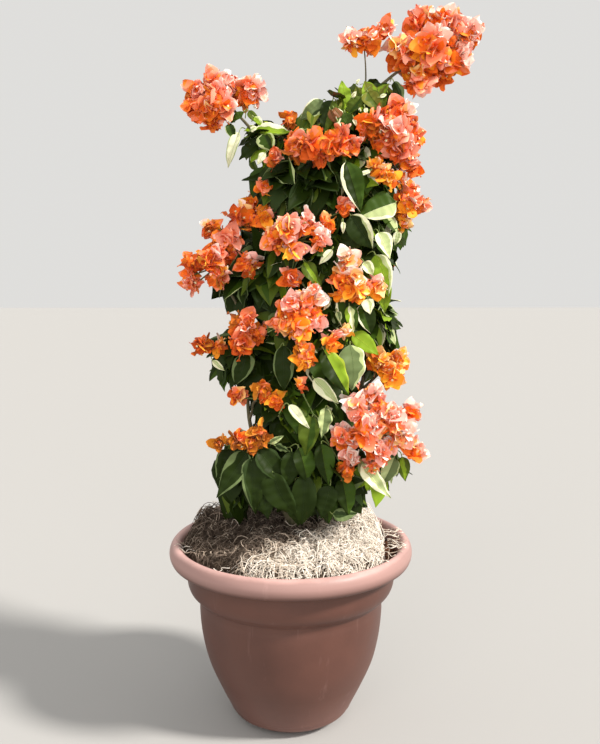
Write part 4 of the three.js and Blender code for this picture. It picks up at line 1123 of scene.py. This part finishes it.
def leafy_mass(name, centre, half, count, droop, mix, size_by=1.0):
    c, h = np.array(centre, float) * MM, np.array(half, float) * MM
    back = name.startswith("leaves_back")
    bag = back_leaves if back else (low_leaves if c[2] < 0.86 else front_leaves)
    start = nearest_below(c)
    heart = c + np.array([0, 0, h[2] * 0.10])
    stem_path = bough(arms, start, heart, 0.0042, 0.0022, rng, 0.3)
    dirs = sphere_dirs(int(count * 1.45), rng, 0.5)
    ax = axis_at(c[2])
    out = np.array([c[0] - ax[0], c[1] - ax[1], 0.0])
    out = out / max(np.linalg.norm(out), 0.02)
    score = dirs @ out * min(1, np.linalg.norm([c[0] - ax[0], c[1] - ax[1]]) / 0.05)
    front = dirs[:, 1] * (1 if back else -1)
    keep = np.argsort(-(score * 0.6 + front * 0.8 + 0.25 * rng.random(len(dirs))))[:count]
    dirs = dirs[keep]
    n = len(dirs)
    ends = c + dirs * h * rng.uniform(0.30, 0.80, (n, 1)) + [0, 0, 0.016]
    pick = rng.uniform(0.35, 1.0, n)
    roots = stem_path[(pick * (len(stem_path) - 1)).astype(int)]
    span = np.linalg.norm(ends - roots, axis=1, keepdims=True)
    c1 = roots + (ends - roots) * 0.35 + UP * span * 0.22 + rng.normal(0, 0.06, (n, 3)) * span
    c2 = roots + (ends - roots) * 0.75 + UP * span * 0.22 + rng.normal(0, 0.06, (n, 3)) * span
    k = 6
    paths = bezier(roots, c1, c2, ends, k)
    s = np.linspace(0, 1, k + 1)
    under = np.minimum(paths[..., 2], crown_top(paths[..., 0]) - 0.012)
    add_tubes(twigs, np.concatenate([paths[..., :2], under[..., None]], -1), (0.0019 - 0.0011 * s)[None] * np.ones((n, 1)), 3, np.where(rng.random(n) < 0.6, 0, 1))
    # leaves along each twig
    base, along, face, size, fork = [], [], [], [], []
    for i in range(n):
        m = int(rng.integers(5, 9))
        at = np.clip(np.linspace(0.25, 1.0, m) + rng.normal(0, 0.03, m), 0, 1)
        pos = np.stack([np.interp(at, s, paths[i][:, a]) for a in range(3)], -1)
        tan = unit(np.stack([np.interp(at, s, np.gradient(paths[i][:, a])) for a in range(3)], -1))
        turn = rng.random() * 6.28 + np.arange(m) * 2.4
        b1 = unit(np.cross(tan, UP + 1e-3))
        b2 = np.cross(tan, b1)
        around = b1 * np.cos(turn)[:, None] + b2 * np.sin(turn)[:, None]
        axy = np.array([axis_at(z) for z in pos[:, 2]])
        outward = unit(np.concatenate([pos[:, :2] - axy, np.zeros((m, 1))], 1) + [0, 0.012 if back else -0.022, 0])
        d = unit(around * 0.75 + tan * 0.25 + outward * 0.62 + rng.normal(0, 0.30, (m, 3)))
        blade = unit(d * rng.uniform(0.45, 1.0, (m, 1)) - UP * droop * rng.uniform(0.25, 1.25, (m, 1)) + rng.normal(0, 0.20, (m, 3)))
        toward = np.array([0, 1.0 if back else -1.0, 0]) * rng.uniform(0.0, 0.9, (m, 1))
        base.append(pos + d * rng.uniform(0.010, 0.022, (m, 1)) + UP * 0.003)
        along.append(blade)
        face.append(unit(outward * 0.75 + toward + UP * 0.50 + around * 0.30 + rng.normal(0, 0.34, (m, 3))))
        size.append(size_by * (0.046 + 0.060 * rng.random(m) ** 0.8) * (1.08 - 0.40 * np.clip(at, 0, 1) ** 4))
        fork.append(pos)
    base, along, face, size, fork = [np.concatenate(x) for x in (base, along, face, size, fork)]
    # a leaf's middle stays inside the mass
    mid = base + along * size[:, None] * 0.5
    q = np.linalg.norm((mid - c) / h, axis=1)
    base = base - (mid - c) * np.maximum(0, 1 - 0.97 / q)[:, None]
    mid = base + along * size[:, None] * 0.5
    tip = base + along * size[:, None] * 0.9
    top = crown_top(tip[:, 0]) + 0.006 * rng.normal(0, 1, len(tip))
    ok = clear_of_heads(mid) & clear_of_heads(tip) & (tip[:, 2] < np.minimum(top, 1.320)) & (mid[:, 2] < top - 0.006) & (base[:, 2] < top - 0.006)
    if not back:
        ok &= clear_of_front(mid) & clear_of_front(tip) & clear_of_front(base)
    for x0, x1, z0, z1 in OPEN:
        for p in (mid, tip):
            ok &= ~((p[:, 0] > x0) & (p[:, 0] < x1) & (p[:, 2] > z0) & (p[:, 2] < z1))
    floor_z = moss_top(tip[:, 0], tip[:, 1]) + 0.004
    if not back:
        floor_z = np.where(tip[:, 1] > -0.03, floor_z, np.maximum(floor_z, 0.434 - 0.31 * np.minimum(tip[:, 1], 0) + 0.022 * smooth(-0.03, -0.09, tip[:, 0]) + rng.uniform(-0.004, 0.010, len(tip))))
    ok &= (tip[:, 2] > np.where(np.hypot(tip[:, 0], tip[:, 1]) < 0.215, floor_z, 0.39))
    base, along, face, size, fork = base[ok], along[ok], face[ok], size[ok], fork[ok]
    m = len(base)
    add_tubes(twigs, np.stack([fork, (fork + base) / 2 + UP * 0.003, base], 1), np.full((m, 3), 0.00075), 3, 2)
    strips, green = pick_styles(rng, m, mix)
    size = size * np.where(((strips == 4) | (strips == 5)).sum(1) >= 4, 0.62, 1.0)
    make_leaves(bag, rng, base, along, face, size, size * rng.uniform(0.54, 0.76, m), green, strips,
                rng.uniform(0.1, 1.45, m), rng.uniform(0.04, 0.50, m), 0.34)
    return m


leaf_count = front_show(FRONT_LEAVES, 515) + front_show(ARM_LEAVES, 516)
for name, (c, h, count, droop, mix, size_by) in MASSES.items():
    leaf_count += leafy_mass(name, c, h, count, droop, mix, size_by)

# ------------------------------------------------------------------ flower heads
BRACT_T = np.array([0.0, 0.20, 0.48, 0.76, 0.92, 1.0])
BRACT_W = np.array([0.34, 0.88, 1.00, 0.68, 0.34, 0.03])
BRACT_U = np.array([-1.0, -0.45, 0.45, 1.0])
front_bracts, low_bracts, back_bracts, tiny = Bag(), Bag(), Bag(), Bag()


def make_bracts(bag, rng, base, along, face, length, width, step, gain, ladder, cup, painted_lit_edge):
    """Papery bracts with wavy edges. step is the place on the colour ladder at the base, gain how many steps
    paler the end is, ladder which ladder."""
    n = len(base)
    rows, cols = len(BRACT_T), len(BRACT_U)
    along = unit(along)
    face = unit(face - along * (face * along).sum(-1, keepdims=True))
    side = np.cross(along, face)
    U = np.broadcast_to(BRACT_U, (n, rows, cols))
    half = BRACT_W[None] * width[:, None] * 0.5 * (1 + rng.normal(0, 0.05, (n, rows)))
    x = U * half[..., None]
    ph = rng.random((n, 1, 1)) * 6.28
    ruffle = length[:, None, None] * rng.uniform(0.05, 0.17, n)[:, None, None]
    T = BRACT_T[None, :, None]
    z = ruffle * U ** 2 * np.sin(T * rng.uniform(4, 9, n)[:, None, None] + ph + 1.9 * U) + ruffle * 0.4 * np.sin(T * 7 + U * 2 + ph * 1.7) * T
    z = z + rng.normal(0, 0.012, (n, rows, cols)) * length[:, None, None] * np.minimum(1, T * 3)
    z = z + np.abs(x) * (0.55 - 0.35 * T)
    phi = -cup[:, None] * BRACT_T[None] ** 1.2
    dt = np.diff(BRACT_T)[None]
    mid = (phi[:, 1:] + phi[:, :-1]) / 2
    yy = np.concatenate([np.zeros((n, 1)), np.cumsum(np.cos(mid) * dt, 1)], 1) * length[:, None]
    zz = -np.concatenate([np.zeros((n, 1)), np.cumsum(np.sin(mid) * dt, 1)], 1) * length[:, None]
    F = face[:, None, :] * np.cos(phi)[..., None] + along[:, None, :] * np.sin(phi)[..., None]
    sway = (rng.normal(0, 0.07, n)[:, None] * BRACT_T[None] ** 2 * length[:, None])[..., None]
    centre = base[:, None, :] + along[:, None, :] * yy[..., None] + face[:, None, :] * zz[..., None] + side[:, None, :] * sway
    V = centre[:, :, None, :] + side[:, None, None, :] * x[..., None] + F[:, :, None, :] * z[..., None]
    faces = grid_faces(rows, cols)
    F4 = (faces[None] + (np.arange(n) * rows * cols)[:, None, None]).reshape(-1, 4)
    row = np.repeat(np.arange(rows - 1), cols - 1)
    strip = np.tile(np.arange(cols - 1), rows - 1)
    rise = np.array([0.0, 0.18, 0.45, 0.75, 1.0])[row][None]
    # painted highlight: the side strips are painted 1.3 steps paler, where a bract's edge catches light
    rim = ((strip == 0) | (strip == cols - 2))[None] & (row[None] >= 1) & painted_lit_edge[:, None]
    at = step[:, None] + gain[:, None] * rise + 1.3 * rim
    M = LADDERS[ladder[:, None], np.clip(np.floor(at), 0, LADDERS.shape[1] - 1).astype(int)]
    bag.add(V.reshape(-1, 3), F4, M.reshape(-1))


# painted light: bracts that face this way are painted paler, and those turned away darker, as lit and shaded sides
PAINTED_LIGHT_DIR = unit(np.array([0.62, -0.10, 0.78]))
# from heart to palest, for the redder flowers, the yellower, the old, painted shade in darker copies of the reds,
# painted deep shade in ochre and brown, and the pink ones; the first ladder starts on the painted shade colour
LADDERS = np.array([
    [8, 0, 0, 1, 1, 3, 3, 4, 4, 5, 5, 6, 7, 7],
    [11, 11, 2, 2, 2, 10, 10, 10, 10, 6, 6, 6, 7, 7],
    [9, 9, 9, 0, 9, 1, 1, 2, 3, 3, 4, 4, 5, 5],
    [12, 12, 13, 12, 13, 14, 13, 14, 14, 15, 15, 4, 5, 6],
    [16, 17, 17, 17, 18, 17, 18, 18, 13, 18, 2, 10, 10, 6],
    [0, 3, 0, 3, 3, 4, 4, 4, 5, 5, 5, 6, 6, 7],
])


def crumpled_core(bag, rng, centre, radius):
    """The folded inner bracts of a cluster, seen between the outer ones."""
    rows, cols = 7, 11
    th = np.linspace(0.12, math.pi - 0.12, rows)[:, None]
    ph = np.arange(cols) / cols * 2 * math.pi
    d = np.stack([np.sin(th) * np.cos(ph), np.sin(th) * np.sin(ph), np.cos(th) + 0 * ph], -1)
    r = radius * rng.uniform(0.62, 1.12, (rows, cols))
    V = centre + d * r[..., None]
    q = grid_faces(rows, cols, wrap=True)
    bag.add(V.reshape(-1, 3), q, rng.choice([8, 0, 0, 1, 3], len(q)))


def flower_head(name, lumps, pale, rng):
    back = name.startswith("bloom_back")
    lumps = np.array(lumps, float) * MM
    # smaller lumps fill the hollows between neighbours
    fill = []
    for i in range(len(lumps)):
        for j in range(i + 1, len(lumps)):
            gap = np.linalg.norm(lumps[i, :3] - lumps[j, :3]) - lumps[i, 3] - lumps[j, 3]
            if gap < 0.30 * min(lumps[i, 3], lumps[j, 3]):
                wi = lumps[j, 3] / (lumps[i, 3] + lumps[j, 3])
                fill.append([*(lumps[i, :3] * wi + lumps[j, :3] * (1 - wi)), 0.74 * min(lumps[i, 3], lumps[j, 3])])
    lumps = np.concatenate([lumps, fill]) if fill else lumps
    centre = lumps[:, :3].mean(0)
    yellow, *share = TONES.get(name, TONES["other"])
    share = np.cumsum([yellow] + share)
    bag = back_bracts if back else (front_bracts if centre[2] > 1.10 else low_bracts)
    start = nearest_below(centre, 0.06)
    hub = centre + [0, 0.02 if not back else -0.02, -0.012]
    path = bough(arms, start, hub, 0.0036, 0.0022, rng, 0.30) if name not in ("bloom_top", "bloom_left_arm", "bloom_top_left", "bloom_far_left") else None
    for x, y, z, r in lumps:
        c = np.array([x, y, z])
        size = float(np.clip(0.50 * r + 0.0155, 0.0205, 0.0335))
        n = max(2, int(round(1.20 * 4 * math.pi * (0.8 * r) ** 2 / size ** 2)))
        crumpled_core(bag, rng, c, 0.60 * r)
        d = sphere_dirs(n, rng, 0.7)
        surf = c + d * max(0.0, r - 0.70 * size) * rng.uniform(0.55, 1.10, (n, 1))
        buried = np.zeros(n, bool)
        for x2, y2, z2, r2 in lumps:
            if (x2, y2, z2) != (x, y, z):
                buried |= np.linalg.norm(c + d * r - [x2, y2, z2], axis=1) < r2 * 0.72
        d, surf = d[~buried], surf[~buried]
        n = len(d)
        if n == 0:
            continue
        add_tubes(twigs, bezier(np.tile(c - [0, 0, r * 0.3], (n, 1)), np.tile(c, (n, 1)), (surf + c) / 2, surf, 3), np.full((n, 4), 0.0006), 3, 2)
        if path is not None or len(lumps) > 1:
            link = bezier(hub[None], (hub * 0.6 + c * 0.4)[None], (c - [0, 0, r * 0.5])[None], (c - [0, 0, r * 0.2])[None], 5)
            add_tubes(twigs, link, (0.0017 - 0.0006 * np.linspace(0, 1, 6))[None], 4, 0)
        axis = unit(d + rng.normal(0, 0.50, (n, 3)))
        # painted light: how far each bract faces the light
        sun = np.clip(unit(d * 0.7 + axis * 0.3) @ PAINTED_LIGHT_DIR, -1, 1) * 0.5 + 0.5
        b1 = unit(np.cross(axis, UP + [0.01, 0.02, 0]))
        b2 = np.cross(axis, b1)
        flower_pale = rng.normal(0, 0.09, n) + rng.normal(0, 0.11)
        kind = np.array([1, 2, 3, 4, 5, 0])[np.searchsorted(share, rng.random(n))]
        for ring, (count, lean, scale) in enumerate([(3, 1.08, 1.0), (2, 0.50, 0.84)]):
            spin = rng.random(n) * 6.28
            for q in range(count):
                a = spin + q * 2 * math.pi / count + rng.normal(0, 0.34, n)
                radial = b1 * np.cos(a)[:, None] + b2 * np.sin(a)[:, None]
                ln = lean + rng.normal(0, 0.34, n)
                along = radial * np.sin(ln)[:, None] + axis * np.cos(ln)[:, None]
                face = axis * np.sin(ln)[:, None] - radial * np.cos(ln)[:, None] + rng.normal(0, 0.22, (n, 3))
                length = size * rng.uniform(0.74, 1.24, n) * scale
                w = length * rng.uniform(0.72, 1.04, n)
                own = np.where((kind == 1) & (rng.random(n) < 0.5 - 0.5 * yellow), 0, kind)
                # painted light and shade on top of each head's own paleness and a random tone; the inner ring is
                # painted a little darker
                paleness_and_painted_light = sun * 1.25 - 0.17 + pale + flower_pale + rng.normal(0, 0.08, n) - 0.13 * ring
                step = np.clip(paleness_and_painted_light * 8.6 - 0.6, 0, 9)
                gain = rng.uniform(0.6, 5.2, n) * np.clip(0.45 + 0.75 * paleness_and_painted_light, 0.3, 1.1)
                # the last argument picks the bracts whose edges get the painted highlight, more of them on the lit side
                make_bracts(bag, rng, surf, along, face, length, w, step, gain, own, rng.uniform(-0.2, 1.30, n), rng.random(n) < np.clip(paleness_and_painted_light + 0.15, 0.2, 0.85))
        # tiny cream flowers in some of the clusters
        pick = rng.random(n) < 0.20
        m = int(pick.sum())
        if m:
            p0 = surf[pick] + axis[pick] * 0.006
            p1 = p0 + axis[pick] * 0.011
            add_tubes(tiny, np.stack([p0, (p0 + p1) / 2, p1], 1), np.array([0.0009, 0.0008, 0.0012])[None] * np.ones((m, 1)), 5, 1)
            star = []
            for j in range(10):
                a = j * math.pi / 5
                rr = 0.0034 if j % 2 == 0 else 0.0016
                star.append(p1 + (b1[pick] * math.cos(a) + b2[pick] * math.sin(a)) * rr + axis[pick] * 0.0008 * (j % 2 == 0))
            star = np.stack([p1 + axis[pick] * 0.0006] + star, 1)
            f = np.array([[0, 1 + j, 1 + (j + 1) % 10] for j in range(10)])
            tiny.add(star.reshape(-1, 3), (f[None] + (np.arange(m) * 11)[:, None, None]).reshape(-1, 3), 0)


# shares of yellower, old, duller (painted shade), ochre (painted deep shade) and pink flowers; the rest are red-orange.
# Heads that sit in shade take large shares of the painted shade ones
TONES = {
    "other": (0.24, 0.04, 0.08, 0.0, 0.16),
    "bloom_top": (0.20, 0.0, 0.0, 0.0, 0.26),
    "bloom_top_left": (0.10, 0.02, 0.04, 0.0, 0.50),
    "bloom_left_arm": (0.15, 0.02, 0.18, 0.0, 0.34),
    "bloom_upper_front": (0.06, 0.06, 0.66, 0.04, 0.06),
    "bloom_upper_right": (0.15, 0.03, 0.08, 0.0, 0.42),
    "bloom_right": (0.60, 0.0, 0.04, 0.05, 0.12),
    "bloom_left_middle": (0.10, 0.05, 0.60, 0.03, 0.18),
    "bloom_left_upper": (0.12, 0.06, 0.70, 0.08, 0.0),
    "bloom_centre": (0.28, 0.0, 0.12, 0.0, 0.24),
    "bloom_centre_right": (0.84, 0.0, 0.0, 0.0, 0.04),
    "bloom_centre_low": (0.22, 0.0, 0.04, 0.0, 0.34),
    "bloom_left_low": (0.34, 0.04, 0.34, 0.10, 0.08),
    "bloom_far_left": (0.40, 0.05, 0.30, 0.15, 0.0),
    "bloom_right_small": (0.86, 0.0, 0.0, 0.04, 0.02),
    "bloom_low_right": (0.20, 0.0, 0.0, 0.0, 0.46),
    "bloom_low_left": (0.04, 0.04, 0.08, 0.84, 0.0),
    "bloom_low_pair": (0.34, 0.10, 0.26, 0.18, 0.06),
    "bud_red": (0.05, 0.2, 0.6, 0.0, 0.0),
    "small_b": (0.60, 0.05, 0.05, 0.10, 0.0),
    "small_c": (0.30, 0.20, 0.20, 0.20, 0.0),
    "small_d": (0.80, 0.0, 0.0, 0.08, 0.0),
}
SEEDS = {"bloom_top": 34, "bloom_top_left": 501, "bloom_left_arm": 602, "bloom_upper_front": 603, "bloom_upper_right": 604, "bloom_right": 606, "bloom_left_middle": 508,
         "bloom_centre_right": 611, "bloom_centre_low": 712, "bloom_left_low": 513, "bloom_right_small": 516}
# how much paler each head is: partly its own tone, partly painted light and shade, paler for heads in the light and
# darker for heads in shade
PALE_AND_PAINTED_LIGHT = {"bloom_top": 0.09, "bloom_top_left": 0.12, "bloom_left_arm": 0.15, "bloom_upper_front": -0.12, "bloom_upper_right": 0.08, "bud_red": -0.5, "bloom_right": 0.0,
        "bloom_left_upper": -0.34, "bloom_left_middle": -0.04, "bloom_centre": 0.08, "small_a": -0.25, "bloom_centre_right": 0.02, "bloom_centre_low": 0.16, "bloom_left_low": -0.14,
        "bloom_far_left": -0.34, "small_b": -0.22, "bloom_right_small": -0.16, "bloom_low_pair": -0.30, "bloom_low_left": -0.46, "bloom_low_right": 0.24, "small_c": -0.30, "small_d": -0.12}
for i, (name, lumps) in enumerate(HEADS.items()):
    flower_head(name, lumps, PALE_AND_PAINTED_LIGHT[name], np.random.default_rng(SEEDS.get(name, 300 + i)))
for i, (name, lumps) in enumerate(BACK_LUMPS.items()):
    flower_head(name, lumps, (-0.15, 0.06, -0.05, 0.06, -0.12, 0.0)[i], np.random.default_rng(400 + i))

# ------------------------------------------------------------------ pieces
fronts = front_leaves.build("leaf_sprays_upper", LEAF)
lows = low_leaves.build("leaf_sprays_lower", LEAF)
backs = back_leaves.build("leaf_sprays_back", LEAF)
growth = twigs.build("twigs_and_petioles", TWIG)
limbs = arms.build("boughs", [BARK])
blossom_f = front_bracts.build("bract_clusters_upper", BRACT)
blossom_l = low_bracts.build("bract_clusters_lower", BRACT)
blossom_b = back_bracts.build("bract_clusters_back", BRACT)
flowers = tiny.build("flower_tubes", CREAM)
for o, s in ((fronts, "leaves"), (lows, "leaves"), (backs, "leaves"), (growth, "bark"), (limbs, "bark"), (blossom_f, "blossom"), (blossom_l, "blossom"), (blossom_b, "blossom"), (flowers, "blossom")):
    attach(o, "root")
FRONT_MASSES = [n for n in MASSES if not n.startswith("leaves_back")]
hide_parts(*[n for n in FRONT_MASSES if MASSES[n][0][2] >= 860])
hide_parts(*[n for n in FRONT_MASSES if MASSES[n][0][2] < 860])
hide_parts(*[n for n in MASSES if n.startswith("leaves_back")])
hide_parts(*BOUGHS)
UPPER = [n for n, ls in HEADS.items() if n.startswith("bloom") and np.mean([l[2] for l in ls]) > 1100]
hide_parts(*UPPER)
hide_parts(*[n for n in HEADS if n.startswith("bloom") and n not in UPPER])
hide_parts(*BACK_HEADS)

# ------------------------------------------------------------------ stage and light
FLOOR = material("stage_floor", (0.41, 0.403, 0.393), 0.85, specular=0.1)
floor = mesh_object("floor", [(-14, -14, 0), (14, -14, 0), (14, 14, 0), (-14, 14, 0)], np.array([[0, 1, 2, 3]]), [FLOOR])

world = bpy.data.worlds.new("studio")
world.use_nodes = True
bg = next(n for n in world.node_tree.nodes if n.type == "BACKGROUND")
bg.inputs["Color"].default_value = (1.0, 0.99, 0.965, 1)
bg.inputs["Strength"].default_value = 0.74
bpy.context.scene.world = world


def sun(name, toward, power, angle, colour):
    d = bpy.data.lights.new(name, "SUN")
    d.energy = power
    d.angle = math.radians(angle)
    d.color = colour
    o = bpy.data.objects.new(name, d)
    o.rotation_euler = Vector(toward).to_track_quat("Z", "Y").to_euler()
    bpy.context.scene.collection.objects.link(o)


sun("key", (0.72, -0.30, 0.66), 5.0, 9, (1.0, 0.96, 0.90))
sun("fill", (-0.10, -0.92, 0.40), 1.15, 60, (1.0, 0.98, 0.95))
